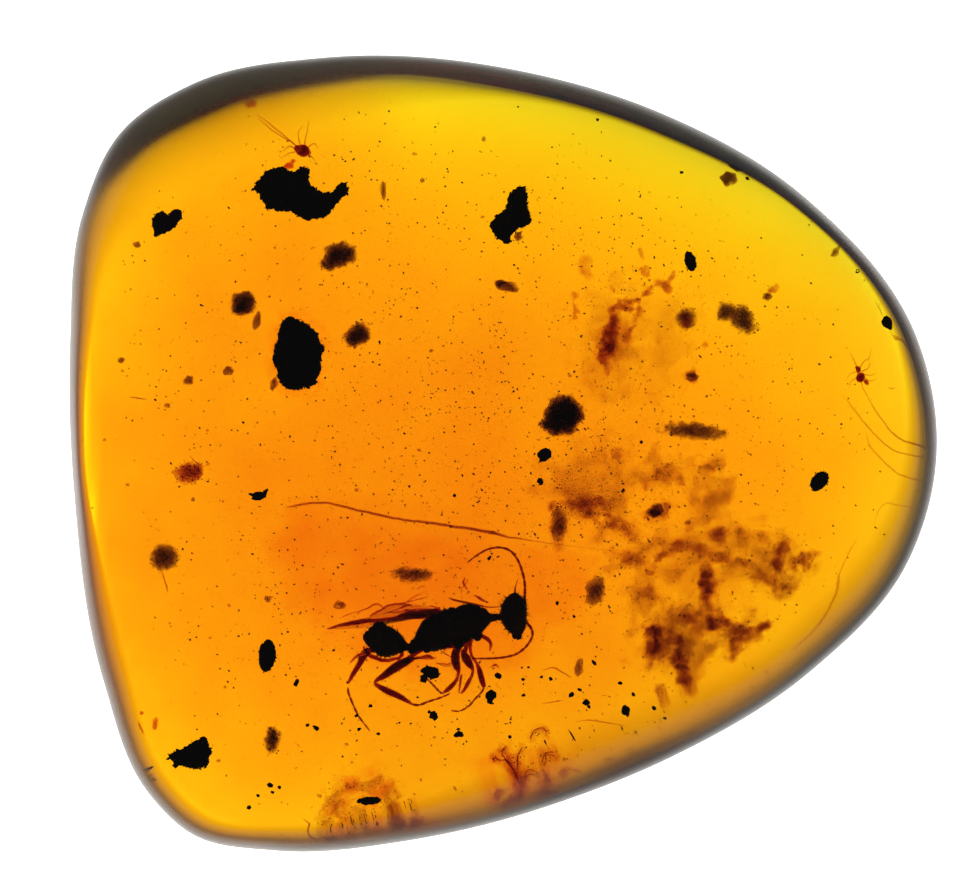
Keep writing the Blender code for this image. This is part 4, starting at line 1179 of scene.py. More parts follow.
CLOD_RIGHT = [
    (5.52, 3.75), (5.72, 3.68), (5.95, 3.62), (6.16, 3.60), (6.33, 3.45), (6.38, 3.24),
    (6.33, 3.01), (6.21, 2.89), (6.03, 2.99), (5.85, 3.19), (5.62, 3.24), (5.42, 3.32),
    (5.44, 3.57),
]
SHRED_STROKES = [
    (0.34, (2.82, 3.50, 0.15), (2.75, 3.09, 0.23), (2.65, 2.68, 0.25), (2.54, 2.33, 0.20),
     (2.62, 2.02, 0.10)),
    (0.14, (2.90, 3.45, 0.10), (3.13, 3.68, 0.13), (3.43, 3.80, 0.10), (3.74, 4.11, 0.10),
     (3.99, 4.18, 0.13), (4.20, 4.01, 0.10)),
    (0.10, (4.09, 4.16, 0.10), (4.27, 4.36, 0.08), (4.35, 4.51, 0.05)),
    (0.12, (2.90, 3.70, 0.05), (2.80, 3.98, 0.06), (2.70, 4.18, 0.04)),
    (0.10, (3.48, 4.57, 0.04), (3.61, 4.34, 0.05), (3.56, 4.72, 0.05), (3.41, 5.05, 0.04)),
    (0.08, (1.75, 3.90, 0.05), (1.78, 3.40, 0.08), (1.81, 3.01, 0.05)),
    (0.12, (3.03, 2.76, 0.15), (3.28, 3.14, 0.13), (3.41, 3.52, 0.10)),
]
SHRED_SPOTS = [
    (4.60, 3.27, 0.25, 0.28, 0, 0.22), (4.76, 1.82, 0.20, 0.23, 0, 0.13),
    (5.06, 2.61, 0.10, 0.15, 0, 0.12), (3.10, 3.55, 0.23, 0.13, 0, 0.14),
    (2.77, 2.76, 0.51, 0.76, -20, 0.10), (2.03, 4.67, 0.20, 0.36, 0, 0.05),
    (6.79, 3.98, 0.13, 0.20, -20, 0.14),
]

CLOD_PATCHES = {    # the clods that aren't plain ovals
    "clod_centre": (0.55, 0.34, CLOD_CENTRE),
    "clod_upper_left": (0.34, 0.26, CLOD_UPPER_LEFT),
    "clod_right": (0.28, 0.26, CLOD_RIGHT),
}
CLODS = {           # CAD node: level, spots
    "clod_centre": (1.20, [(1.50, 0.90, 0.50, 0.42, 20, 0.55)]),
    "clod_upper_left": (1.15, [(-4.20, 5.05, 0.38, 0.24, 14, 0.34)]),
    "clod_right": (-1.15, [(6.05, 3.22, 0.40, 0.20, -30, 0.16)]),
    "clod_left": (1.15, [(-6.69, 3.85, 0.33, 0.30, 30, 0.46)]),
    "clod_middle": (-1.20, [(-3.74, 3.01, 0.31, 0.27, 20, 0.46)]),
    "clod_right_small": (-1.30, [(4.60, 3.29, 0.28, 0.26, 0, 0.17)]),
    "clod_low_left": (1.05, [(-8.72, -2.66, 0.36, 0.34, 0, 0.30)]),
    "splinter_right": (1.20, [(4.88, 0.57, 0.80, 0.20, -5, 0.24), (4.98, 0.58, 0.50, 0.16, -2, 0.14)]),
    "splinter_over_wasp": (1.85, [(-2.37, -3.09, 0.50, 0.18, -3, 0.21)]),
    "chip_low_left": (0.45, [(-5.98, -7.34, 0.31, 0.18, 80, 0.32)]),
    "chip_low_centre": (-1.10, [(2.31, -3.42, 0.37, 0.24, 80, 0.26)]),
    "chip_centre": (-1.20, [(1.40, -1.74, 0.40, 0.19, 82, 0.13)]),
    "crumb_two_tone": (0.45, [(-8.06, -0.49, 0.38, 0.24, 4, 0.34), (-7.84, -0.42, 0.16, 0.18, 40, 0.2)]),
}
RED_CLODS = ["crumb_two_tone"]
for seed, (name, (level, spots)) in enumerate(CLODS.items(), 31):
    patches = [CLOD_PATCHES[name]] if name in CLOD_PATCHES else []
    slot, stuff = ("red_debris", RED_FLUFF) if name in RED_CLODS else ("brown_debris", DENSE_FLUFF)
    cloud = sealed_sheet(name + "_detail", level, 0.03, spots, patches=patches, softness=1.15,
                         ragged=0.06, patchy=0.25, fineness=5.0, seed=seed * 5.0, spread=0.03)
    fuzz = grown(name + "_fuzz", cloud.copy(), GRAINS, SOIL, Per_square_mm=90.0, Smallest=0.008,
                 Largest=0.026, Scatter=0.05, Seed=seed)
    seal_in(new_piece(name + "_detail", cloud, stuff), slot, name)
    seal_in(fuzz, slot)

shred = new_piece("shred_red_detail", sealed_sheet(
    "shred_red_detail", -1.20, 0.035, SHRED_SPOTS, SHRED_STROKES, softness=1.3, ragged=0.12,
    patchy=0.8, fineness=3.5, seed=91.0, bend=0.2), RED_FLUFF)
seal_in(shred, "red_debris", "shred_red")

# %% [markdown]
# ## Fluff and stains
# At the lower right a cloud of rotten wood spreads in branches and blots, and round it
# the resin is stained. Two smaller clouds lie against the lower edge, the right one with
# a tuft of red hairs. The stains are broad and thin, and the fluff narrow and dark.

# %% fluff
FLUFF_STROKES = [
    (0.25, (1.53, -1.36, 0.13), (1.88, -1.39, 0.13), (2.21, -1.49, 0.15), (2.54, -1.67, 0.15),
     (2.87, -1.82, 0.13), (3.23, -2.00, 0.08)),
    (0.20, (1.70, -1.26, 0.13), (2.09, -1.21, 0.13), (2.49, -1.26, 0.10)),
    (0.10, (3.18, -2.02, 0.06), (3.74, -2.10, 0.05), (4.45, -2.20, 0.06)),
    (0.30, (4.55, -2.20, 0.10), (4.25, -2.38, 0.09), (3.92, -2.63, 0.09), (3.66, -2.89, 0.06)),
    (0.20, (4.58, -2.23, 0.10), (5.01, -2.38, 0.11), (5.34, -2.53, 0.10), (5.70, -2.66, 0.09),
     (6.08, -2.71, 0.08)),
    (0.50, (5.09, -2.86, 0.08), (5.16, -3.27, 0.23), (5.16, -3.65, 0.18), (5.19, -4.03, 0.13),
     (5.29, -4.36, 0.15)),
    (0.40, (5.29, -4.39, 0.18), (5.57, -4.31, 0.18), (5.85, -4.44, 0.18), (6.10, -4.59, 0.18),
     (6.36, -4.46, 0.13), (6.71, -4.34, 0.08)),
    (0.45, (5.98, -4.54, 0.18), (5.98, -4.87, 0.20), (5.90, -5.12, 0.15)),
    (0.35, (6.54, -4.69, 0.18), (6.46, -5.00, 0.18), (6.43, -5.25, 0.13)),
    (0.55, (3.82, -4.39, 0.18), (3.84, -4.74, 0.25), (3.74, -5.05, 0.15)),
    (0.40, (3.87, -4.69, 0.18), (4.20, -4.74, 0.15), (4.50, -4.79, 0.10)),
    (0.55, (4.43, -4.87, 0.13), (4.50, -5.30, 0.18), (4.60, -5.66, 0.15), (4.76, -5.96, 0.15),
     (4.99, -6.14, 0.10)),
    (0.30, (4.09, -6.68, 0.15), (4.27, -6.70, 0.15)),
    (0.25, (4.48, -4.03, 0.13), (4.68, -4.13, 0.13), (4.91, -4.08, 0.10), (5.11, -3.93, 0.10)),
    (0.30, (7.05, -2.30, 0.13), (6.99, -2.71, 0.15), (7.10, -3.04, 0.18), (6.92, -3.22, 0.13)),
    (0.30, (7.94, -2.48, 0.10), (7.71, -2.63, 0.15), (7.43, -2.71, 0.13), (7.15, -2.99, 0.13)),
    (0.20, (6.21, -2.71, 0.15), (6.46, -2.99, 0.18), (6.82, -3.17, 0.18), (7.17, -3.37, 0.15)),
    (0.18, (4.30, -0.39, 0.09), (3.92, -0.55, 0.09), (3.59, -0.72, 0.05)),
    (0.12, (4.27, -0.37, 0.06), (4.76, -0.32, 0.06), (5.26, -0.37, 0.08)),
    (0.12, (2.77, -2.51, 0.08), (3.10, -2.53, 0.10), (3.48, -2.68, 0.10), (3.79, -2.71, 0.05)),
]
FLUFF_SPOTS = [
    (3.87, -1.41, 0.25, 0.20, 10, 0.30), (1.40, -1.74, 0.18, 0.38, 5, 0.28),
    (4.32, -0.57, 0.15, 0.20, 0, 0.18), (4.65, -1.72, 0.10, 0.15, 0, 0.12),
    (5.42, -2.02, 0.20, 0.15, 0, 0.20), (6.46, -2.10, 0.33, 0.18, 0, 0.14),
    (6.03, -5.00, 0.46, 0.33, 0, 0.16), (5.01, -4.36, 0.31, 0.25, 0, 0.20),
    (6.59, -5.00, 0.41, 0.46, 0, 0.14), (4.81, -6.42, 0.31, 0.23, 30, 0.22),
    (3.99, -4.95, 0.36, 0.31, -20, 0.25), (4.76, -5.56, 0.41, 0.61, 0, 0.14),
    (2.47, -0.04, 0.13, 0.13, 0, 0.10), (2.90, -0.04, 0.10, 0.13, 0, 0.14),
    (2.62, -0.85, 0.13, 0.10, 0, 0.10), (4.27, -4.03, 0.10, 0.15, 0, 0.12),
    (3.74, -3.52, 0.25, 0.15, 0, 0.10), (3.99, -6.02, 0.13, 0.13, 0, 0.18),
    (2.34, -1.31, 0.36, 0.20, 0, 0.10),
]
RUST_SPOTS = [
    (4.76, -4.74, 1.53, 1.27, -10, 0.30), (5.01, -5.56, 0.61, 1.02, 0, 0.30),
    (3.87, -3.73, 0.92, 1.02, 0, 0.22), (3.48, -2.71, 0.86, 0.56, 0, 0.18),
    (6.16, -4.87, 1.02, 0.76, 10, 0.30), (6.79, -2.76, 1.17, 0.81, -25, 0.20),
    (5.32, -1.18, 0.61, 1.12, 20, 0.16), (2.21, -0.67, 1.53, 1.22, 0, 0.14),
    (2.47, -1.49, 1.27, 0.56, -20, 0.18), (4.50, -6.47, 0.76, 0.56, 40, 0.30),
    (5.39, -2.20, 1.02, 0.61, 0, 0.16), (3.74, -0.42, 0.86, 0.46, 10, 0.14),
    (2.77, 2.76, 1.17, 1.68, -15, 0.12), (3.87, 2.76, 1.27, 1.53, 0, 0.06),
    (5.01, -2.71, 1.78, 1.53, 0, 0.14),
]
BOTTOM_STROKES = [
    (0.12, (-4.40, -8.81, 0.05), (-4.60, -9.02, 0.08), (-4.73, -9.32, 0.08), (-4.60, -9.55, 0.05)),
    (0.20, (-4.53, -8.97, 0.10), (-4.32, -8.97, 0.15), (-4.15, -9.07, 0.13), (-4.25, -9.27, 0.08)),
    (0.14, (-4.40, -8.81, 0.05), (-4.07, -8.58, 0.08), (-3.84, -8.46, 0.10), (-3.59, -8.53, 0.10)),
    (0.12, (-3.51, -8.56, 0.10), (-3.23, -8.36, 0.10), (-3.00, -8.48, 0.10), (-2.82, -8.74, 0.08)),
    (0.14, (-4.15, -9.32, 0.10), (-3.84, -9.37, 0.13), (-3.59, -9.37, 0.13), (-3.38, -9.27, 0.08)),
    (0.20, (-4.65, -9.42, 0.05), (-4.45, -9.53, 0.08), (-4.35, -9.63, 0.05)),
    (0.22, (-4.30, -9.53, 0.08), (-4.04, -9.55, 0.10)),
    (0.10, (-3.84, -9.09, 0.08), (-3.69, -9.14, 0.08), (-4.02, -9.27, 0.08)),
    (0.12, (-2.57, -9.22, 0.10), (-2.37, -9.12, 0.10), (-2.49, -9.32, 0.08)),
]
BOTTOM_SPOTS = [
    (-2.95, -9.09, 0.23, 0.20, 0, 0.35), (-2.42, -9.04, 0.15, 0.13, 0, 0.20),
    (-4.37, -9.04, 0.23, 0.20, 0, 0.16), (-3.69, -9.37, 0.36, 0.15, 0, 0.12),
    (-3.05, -8.69, 0.31, 0.23, 0, 0.08), (-3.26, -9.40, 0.25, 0.13, 0, 0.10),
    (-4.15, -8.56, 0.25, 0.20, 0, 0.06),
]
BOTTOM_RUST = [
    (-3.64, -8.61, 1.02, 0.61, 10, 0.16), (-2.62, -9.19, 0.66, 0.41, -10, 0.18),
    (-4.27, -9.19, 0.56, 0.51, 0, 0.12), (-0.08, -8.18, 0.92, 0.71, -20, 0.16),
    (0.69, -8.18, 0.92, 0.56, 0, 0.14), (1.14, -7.80, 0.76, 0.66, 0, 0.10),
    (-1.86, -9.19, 1.02, 0.36, -8, 0.12),
]
TUFT_STROKES = [
    (0.22, (0.23, -8.56, 0.13), (0.28, -8.25, 0.15), (0.18, -8.00, 0.10), (0.05, -7.82, 0.08),
     (-0.15, -7.80, 0.05), (-0.28, -7.72, 0.04)),
    (0.14, (0.05, -7.85, 0.08), (-0.08, -7.62, 0.08), (0.03, -7.44, 0.05)),
    (0.12, (0.28, -8.18, 0.10), (0.43, -7.92, 0.08), (0.58, -7.87, 0.05), (0.76, -7.95, 0.05)),
    (0.10, (0.64, -7.24, 0.05), (0.76, -7.06, 0.08), (0.94, -6.98, 0.08), (1.07, -7.08, 0.05)),
    (0.10, (0.86, -7.67, 0.05), (0.99, -7.49, 0.08), (1.17, -7.46, 0.05)),
    (0.12, (-0.33, -8.36, 0.05), (-0.15, -8.33, 0.06)),
    (0.14, (0.05, -8.58, 0.10), (-0.13, -8.71, 0.08)),
    (0.14, (0.69, -8.43, 0.10), (0.97, -8.41, 0.13), (1.20, -8.51, 0.08)),
    (0.10, (0.84, -7.85, 0.08), (0.97, -8.05, 0.08), (0.74, -8.18, 0.08)),
    (0.10, (1.32, -7.92, 0.05), (1.45, -7.80, 0.05)),
    (0.08, (0.43, -7.49, 0.05), (0.31, -7.67, 0.05), (0.23, -7.85, 0.05)),
]

FLUFF = clear_material("rotten_wood_fluff", (3.0, 5.4, 7.0))             # thin brown smoke
TUFT_FLUFF = clear_material("plant_tuft", (3.0, 6.5, 9.0))               # the same, redder
PLANT_HAIR = clear_material("red_plant_hair", (20.0, 42.0, 60.0))
BROWN_HAZE = clear_material("brown_haze_in_resin", (2.3, 3.6, 4.2))      # a stain in the resin
SHEETS = {  # shape, material, slot, grains to the square mm
    "fluff_lower_right": (dict(
        level=-0.9, step=0.04, spots=FLUFF_SPOTS, strokes=FLUFF_STROKES, ragged=0.18, patchy=1.3,
        fineness=2.8, keep_off=1.5), FLUFF, "brown_debris", 45.0),
    "stains_right": (dict(
        level=-1.5, step=0.06, spots=RUST_SPOTS, ragged=0.6, patchy=1.4, fineness=1.9,
        keep_off=1.5), BROWN_HAZE, "amber", 14.0),
    "fluff_bottom": (dict(
        level=0.3, step=0.03, spots=BOTTOM_SPOTS, strokes=BOTTOM_STROKES, ragged=0.10, patchy=1.1,
        fineness=4.5, keep_off=0.5), FLUFF, "brown_debris", 60.0),
    "stains_bottom": (dict(
        level=-0.2, step=0.05, spots=BOTTOM_RUST, ragged=0.3, patchy=1.2, fineness=2.5,
        keep_off=0.5), RUSTY_RESIN, "amber", 0.0),
    "tuft_bottom": (dict(
        level=0.1, step=0.03, strokes=TUFT_STROKES, ragged=0.10, patchy=1.1, fineness=4.5,
        keep_off=0.5), TUFT_FLUFF, "red_debris", 30.0),
}
for seed, (name, (shape, stuff, slot, specks)) in enumerate(SHEETS.items(), 61):
    sheet = sealed_sheet(name, softness=2.0, seed=seed * 3.0, bend=0.3, spread=0.12, **shape)
    if specks:
        grains = grown(name + "_specks", sheet.copy(), GRAINS, SOIL, Per_square_mm=specks,
                       Smallest=0.006, Largest=0.02, Scatter=0.25, Seed=seed)
        seal_in(grains, "brown_debris")
    seal_in(new_piece(name, sheet, stuff), slot)

TUFT_HAIR = 0.016           # half the thickness of a hair
TUFT_HAIRS = [[(x, y, level, TUFT_HAIR) for x, y, _ in knots] for level in (0.0, 0.3)
              for _, *knots in TUFT_STROKES]
TUFT_HAIRS += level_paths([
    (0.0, (-5.09, -9.47, 0.016), (-4.91, -9.55, 0.022), (-4.70, -9.65, 0.012)),
    (0.1, (-5.01, -9.63, 0.014), (-4.76, -9.58, 0.024), (-4.55, -9.52, 0.014)),
])
seal_in(grown("tuft_hairs", path_mesh("tuft", TUFT_HAIRS), THREADS, PLANT_HAIR, Steps=10,
              Wander=0.14 * MM, Seed=8), "red_debris")

# %% [markdown]
# ## Mites
# Two mites, each half a millimetre long: a round body with a smaller front part, and legs
# like threads, bent at the knees. One has all eight, and the other has lost one. A voxel
# remesh can't be made fine enough for a body this small, so its lobes just overlap.

# %% mites
MITE_SHAPES = {     # CAD node: body lobes (as the wasp's), then leg paths
    "mite_upper": (
        [(-5.24, 7.68, -0.42, 0.19, 0.16, 0.15, -20), (-5.38, 7.74, -0.42, 0.10, 0.09, 0.09, 10),
         (-5.12, 7.62, -0.44, 0.09, 0.08, 0.08, 0)],
        [[(-5.36, 7.76, -0.40, 0.016), (-5.66, 8.00, -0.35, 0.013), (-6.00, 8.22, -0.30, 0.012),
          (-6.33, 8.43, -0.28, 0.008)],
         [(-5.20, 7.80, -0.40, 0.014), (-5.16, 8.06, -0.34, 0.012), (-5.08, 8.36, -0.32, 0.008)],
         [(-5.30, 7.82, -0.40, 0.014), (-5.36, 8.10, -0.36, 0.010), (-5.22, 8.26, -0.34, 0.006)],
         [(-5.40, 7.70, -0.40, 0.016), (-5.58, 7.80, -0.38, 0.014), (-5.76, 7.66, -0.38, 0.008)],
         [(-5.38, 7.66, -0.40, 0.014), (-5.60, 7.62, -0.38, 0.012), (-5.82, 7.50, -0.38, 0.006)],
         [(-5.14, 7.74, -0.42, 0.014), (-4.96, 7.86, -0.40, 0.012), (-4.86, 7.72, -0.40, 0.006)],
         [(-5.12, 7.58, -0.42, 0.014), (-4.98, 7.48, -0.42, 0.010), (-4.92, 7.36, -0.42, 0.006)]]),
    "mite_right": (
        [(9.18, 1.92, 0.30, 0.14, 0.12, 0.13, 60), (9.12, 2.12, 0.30, 0.10, 0.07, 0.09, 100),
         (9.33, 1.80, 0.30, 0.09, 0.06, 0.07, -50)],
        [[(9.10, 2.14, 0.32, 0.014), (9.02, 2.34, 0.34, 0.011), (8.90, 2.60, 0.36, 0.006)],
         [(9.14, 2.12, 0.32, 0.014), (9.28, 2.34, 0.34, 0.012), (9.40, 2.40, 0.34, 0.010),
          (9.48, 2.62, 0.36, 0.006)],
         [(9.20, 2.06, 0.32, 0.014), (9.38, 2.16, 0.34, 0.011), (9.44, 2.36, 0.34, 0.006)],
         [(9.24, 2.00, 0.32, 0.013), (9.46, 1.98, 0.34, 0.010), (9.62, 2.06, 0.34, 0.006)],
         [(9.28, 1.92, 0.32, 0.012), (9.46, 1.84, 0.34, 0.009), (9.64, 1.90, 0.34, 0.005)],
         [(9.04, 2.06, 0.30, 0.012), (8.90, 2.00, 0.32, 0.009), (8.82, 1.86, 0.32, 0.005)],
         [(9.06, 1.90, 0.30, 0.012), (8.92, 1.80, 0.32, 0.009), (8.88, 1.64, 0.32, 0.005)],
         [(9.20, 1.80, 0.30, 0.012), (9.24, 1.66, 0.32, 0.009), (9.34, 1.50, 0.34, 0.005)]]),
}
MITE_CHITIN = clear_material("mite_chitin", (10.0, 26.0, 40.0))          # thin, so red-brown
FINE_THREAD = clear_material("fine_dark_thread", (24.0, 48.0, 70.0))     # dark at 0.03 mm
LEG_HAIR = 1.25             # how much thicker its short hairs make a mite's leg look
for name, (lobes, legs) in MITE_SHAPES.items():
    form = bmesh.new()
    for lobe in lobes:
        add_lobe(form, lobe, rough=0.12)
    skin = softened(name + "_body", form, 1)
    seal_in(new_piece(name + "_body", skin, MITE_CHITIN), "mite_skin", name)
    thicker = [[(x, y, z, LEG_HAIR * radius) for x, y, z, radius in leg] for leg in legs]
    seal_in(grown(name + "_legs", path_mesh(name, thicker), THREADS, FINE_THREAD, Sides=6, Steps=6,
                  Wander=0.06 * MM), "mite_skin")

# %% [markdown]
# ## Hairs and fibres
# Plant hairs as fine as a hundredth of a millimetre curl in from the right edge, and
# short fibres lie about. The seam of the rusty flow is drawn as a fine thread too.

# %% hairs and fibres
EDGE_HAIRS = level_paths([
    (0.50, (9.23, 1.67, 0.010), (9.44, 1.31, 0.015), (9.59, 1.06, 0.020), (9.79, 0.80, 0.020),
     (10.02, 0.52, 0.023), (10.30, 0.32, 0.025), (10.61, 0.19, 0.031), (10.78, 0.14, 0.025)),
    (0.30, (8.72, 1.46, 0.010), (9.03, 1.06, 0.018), (9.28, 0.75, 0.019), (9.59, 0.42, 0.019),
     (9.92, 0.14, 0.020), (10.22, 0.01, 0.020), (10.71, -0.09, 0.020)),
    (0.10, (9.31, 0.55, 0.010), (9.39, 0.22, 0.015), (9.59, -0.04, 0.018), (9.89, -0.32, 0.019),
     (10.17, -0.55, 0.019), (10.48, -0.62, 0.018), (10.73, -0.60, 0.015)),
    (-0.20, (9.49, -1.79, 0.008), (9.56, -1.56, 0.011), (9.69, -1.34, 0.013), (9.92, -1.23, 0.013),
     (10.22, -1.26, 0.014), (10.33, -1.41, 0.015), (10.25, -1.74, 0.008)),
    (0.60, (10.00, 3.14, 0.013), (10.17, 2.84, 0.019), (10.35, 2.58, 0.020)),
    (0.60, (9.61, 3.90, 0.010), (9.72, 3.70, 0.020), (9.79, 3.52, 0.013)),
    (-0.40, (9.03, -2.20, 0.010), (8.83, -2.51, 0.014), (8.52, -3.14, 0.015), (8.22, -3.57, 0.015),
     (7.86, -4.01, 0.017), (7.50, -4.36, 0.015), (7.12, -4.67, 0.011)),
    (0.20, (9.89, 1.67, 0.013), (10.00, 1.64, 0.019), (10.07, 1.67, 0.013)),
])
ROOT_HAIRS = level_paths([
    (0.30, (-9.61, 1.45, 0.013), (-9.41, 1.42, 0.020), (-9.18, 1.39, 0.013)),
    (0.40, (0.94, -5.51, 0.010), (1.25, -5.43, 0.020), (1.50, -5.56, 0.020), (1.70, -5.68, 0.013)),
    (0.40, (0.97, -6.35, 0.010), (1.35, -6.29, 0.019), (1.50, -6.27, 0.010)),
    (0.30, (1.83, -6.80, 0.008), (2.21, -6.75, 0.013), (2.62, -6.73, 0.013), (3.03, -6.75, 0.008)),
    (0.20, (2.42, -7.57, 0.013), (2.59, -7.54, 0.023), (2.75, -7.59, 0.013)),
    (0.40, (2.03, -6.22, 0.013), (2.11, -6.32, 0.025), (2.19, -6.45, 0.015)),
    (0.60, (-5.21, -9.37, 0.010), (-5.04, -9.50, 0.020), (-4.83, -9.60, 0.018)),
    (0.60, (-4.71, -9.53, 0.010), (-4.50, -9.60, 0.023), (-4.32, -9.63, 0.025)),
    (0.50, (1.58, -7.87, 0.010), (1.75, -7.90, 0.023), (1.93, -8.00, 0.013)),
    (0.20, (-6.33, 8.43, 0.010), (-5.98, 8.18, 0.015), (-5.54, 7.95, 0.015), (-5.37, 7.82, 0.013)),
    (0.30, (-8.06, -0.04, 0.008), (-7.88, -0.24, 0.018), (-7.66, -0.32, 0.010)),
    (0.30, (-7.99, -0.32, 0.010), (-7.86, -0.42, 0.023), (-7.71, -0.55, 0.013)),
    (-0.30, (-8.77, -3.01, 0.013), (-8.70, -3.27, 0.020), (-8.62, -3.57, 0.013)),
    (0.10, (-5.42, -7.39, 0.008), (-5.34, -7.46, 0.013), (-5.26, -7.52, 0.008)),
])
SEAM_LINE = level_paths([
    (0.90, (-5.60, -1.37, 0.012), (-5.42, -1.36, 0.030), (-5.04, -1.28, 0.035),
     (-4.60, -1.26, 0.035), (-4.15, -1.34, 0.038), (-3.69, -1.46, 0.038), (-3.23, -1.56, 0.042),
     (-2.72, -1.67, 0.038), (-2.24, -1.74, 0.038), (-1.73, -1.79, 0.042), (-1.22, -1.87, 0.042),
     (-0.76, -1.92, 0.046), (-0.51, -1.97, 0.046), (-0.28, -2.00, 0.054), (0.05, -2.10, 0.035),
     (0.41, -2.15, 0.027), (0.94, -2.23, 0.017), (1.83, -2.35, 0.013), (2.72, -2.45, 0.009)),
])

PALE_THREAD = clear_material("pale_plant_hair", (14.0, 26.0, 36.0))      # brown at 0.04 mm
for seed, (name, paths, stuff, slot) in enumerate((
        ("edge_hairs", EDGE_HAIRS, PALE_THREAD, "brown_debris"),
        ("loose_fibres", ROOT_HAIRS, FINE_THREAD, "brown_debris"),
        ("seam_line", SEAM_LINE, PALE_THREAD, "amber")), 1):
    seal_in(grown(name, path_mesh(name, paths), THREADS, stuff, Sides=6, Steps=10,
                  Wander=0.05 * MM, Seed=seed), slot)

# %% [markdown]
# ## Small bits and dust
# Small bits lie where they fell, each with its own size, so a tree stands a lump on every
# vertex and reads its size and turn from the vertex. Dust is everywhere: another tree
# scatters points over the stone's own surface and pulls each one inwards by a random
# share. The share is the cube root of a random number, which fills the stone evenly.

# %% small bits
GRIT_PER_MM = 14.0          # bumps on a bit
BIT_LEVELS = 1.6            # bits lie at most this far above or below the girdle
BIT_ROOM = 0.6              # and within this share of the stone's height there


def pebble_tree():
    """A rough lump on every vertex, sized and turned as the vertex says."""
    tree, given, output = new_tree("pebbles", Roughness=3.0, Seed=1)
    lump = add_node(tree, "GeometryNodeMeshIcoSphere", {"Radius": 1.0, "Subdivisions": 2})
    size = add_node(tree, "GeometryNodeInputNamedAttribute", {"Name": "size"},
                    data_type="FLOAT_VECTOR")
    turn = add_node(tree, "GeometryNodeInputNamedAttribute", {"Name": "turn"}, data_type="FLOAT")
    spin = add_node(tree, "ShaderNodeCombineXYZ", {"Z": turn})
    lumps = add_node(tree, "GeometryNodeInstanceOnPoints", {
        "Points": given["Geometry"], "Instance": lump.outputs["Mesh"], "Rotation": spin,
        "Scale": size})
    real = add_node(tree, "GeometryNodeRealizeInstances", {"Geometry": lumps})
    place = add_node(tree, "GeometryNodeInputPosition")
    grit = add_node(tree, "ShaderNodeTexNoise", {
        "Vector": place, "W": given["Seed"], "Scale": GRIT_PER_MM / MM, "Detail": 4.0},
        noise_dimensions="4D")
    level = add_node(tree, "ShaderNodeMath", {0: grit.outputs["Fac"], 1: 0.5}, operation="SUBTRACT")
    stand = add_node(tree, "ShaderNodeMath", {0: level, 1: given["Roughness"]},
                     operation="MULTIPLY")
    width = add_node(tree, "ShaderNodeSeparateXYZ", {"Vector": size})
    in_metres = add_node(tree, "ShaderNodeMath", {0: stand, 1: width.outputs["Y"]},
                         operation="MULTIPLY")
    normal = add_node(tree, "GeometryNodeInputNormal")
    push = add_node(tree, "ShaderNodeVectorMath", {0: normal, "Scale": in_metres},
                    operation="SCALE")
    rough = add_node(tree, "GeometryNodeSetPosition", {"Geometry": real, "Offset": push})
    end_tree(tree, given, output, rough)
    return tree


def bit_mesh(name, bits, seed):
    """A vertex for each bit (x, y, half length, half width, degrees), at a random level."""
    draw = random.Random(seed)
    mesh = bpy.data.meshes.new(name)
    places = []
    for x, y, *_ in bits:
        top, bottom = stone_room(np.array(x / DOME_MAGNIFIES), np.array(y / DOME_MAGNIFIES))
        lowest = max(-BIT_LEVELS, bottom * BIT_ROOM)
        highest = min(BIT_LEVELS, top * BIT_ROOM)
        places.append(inside(x, y, draw.uniform(lowest, highest)))
    mesh.from_pydata(places, [], [])
    sizes = [part * MM for *_, length, width, _ in bits for part in (length, width, width)]
    mesh.attributes.new("size", "FLOAT_VECTOR", "POINT").data.foreach_set("vector", sizes)
    turns = [math.radians(bit[4]) for bit in bits]
    mesh.attributes.new("turn", "FLOAT", "POINT").data.foreach_set("value", turns)
    return mesh


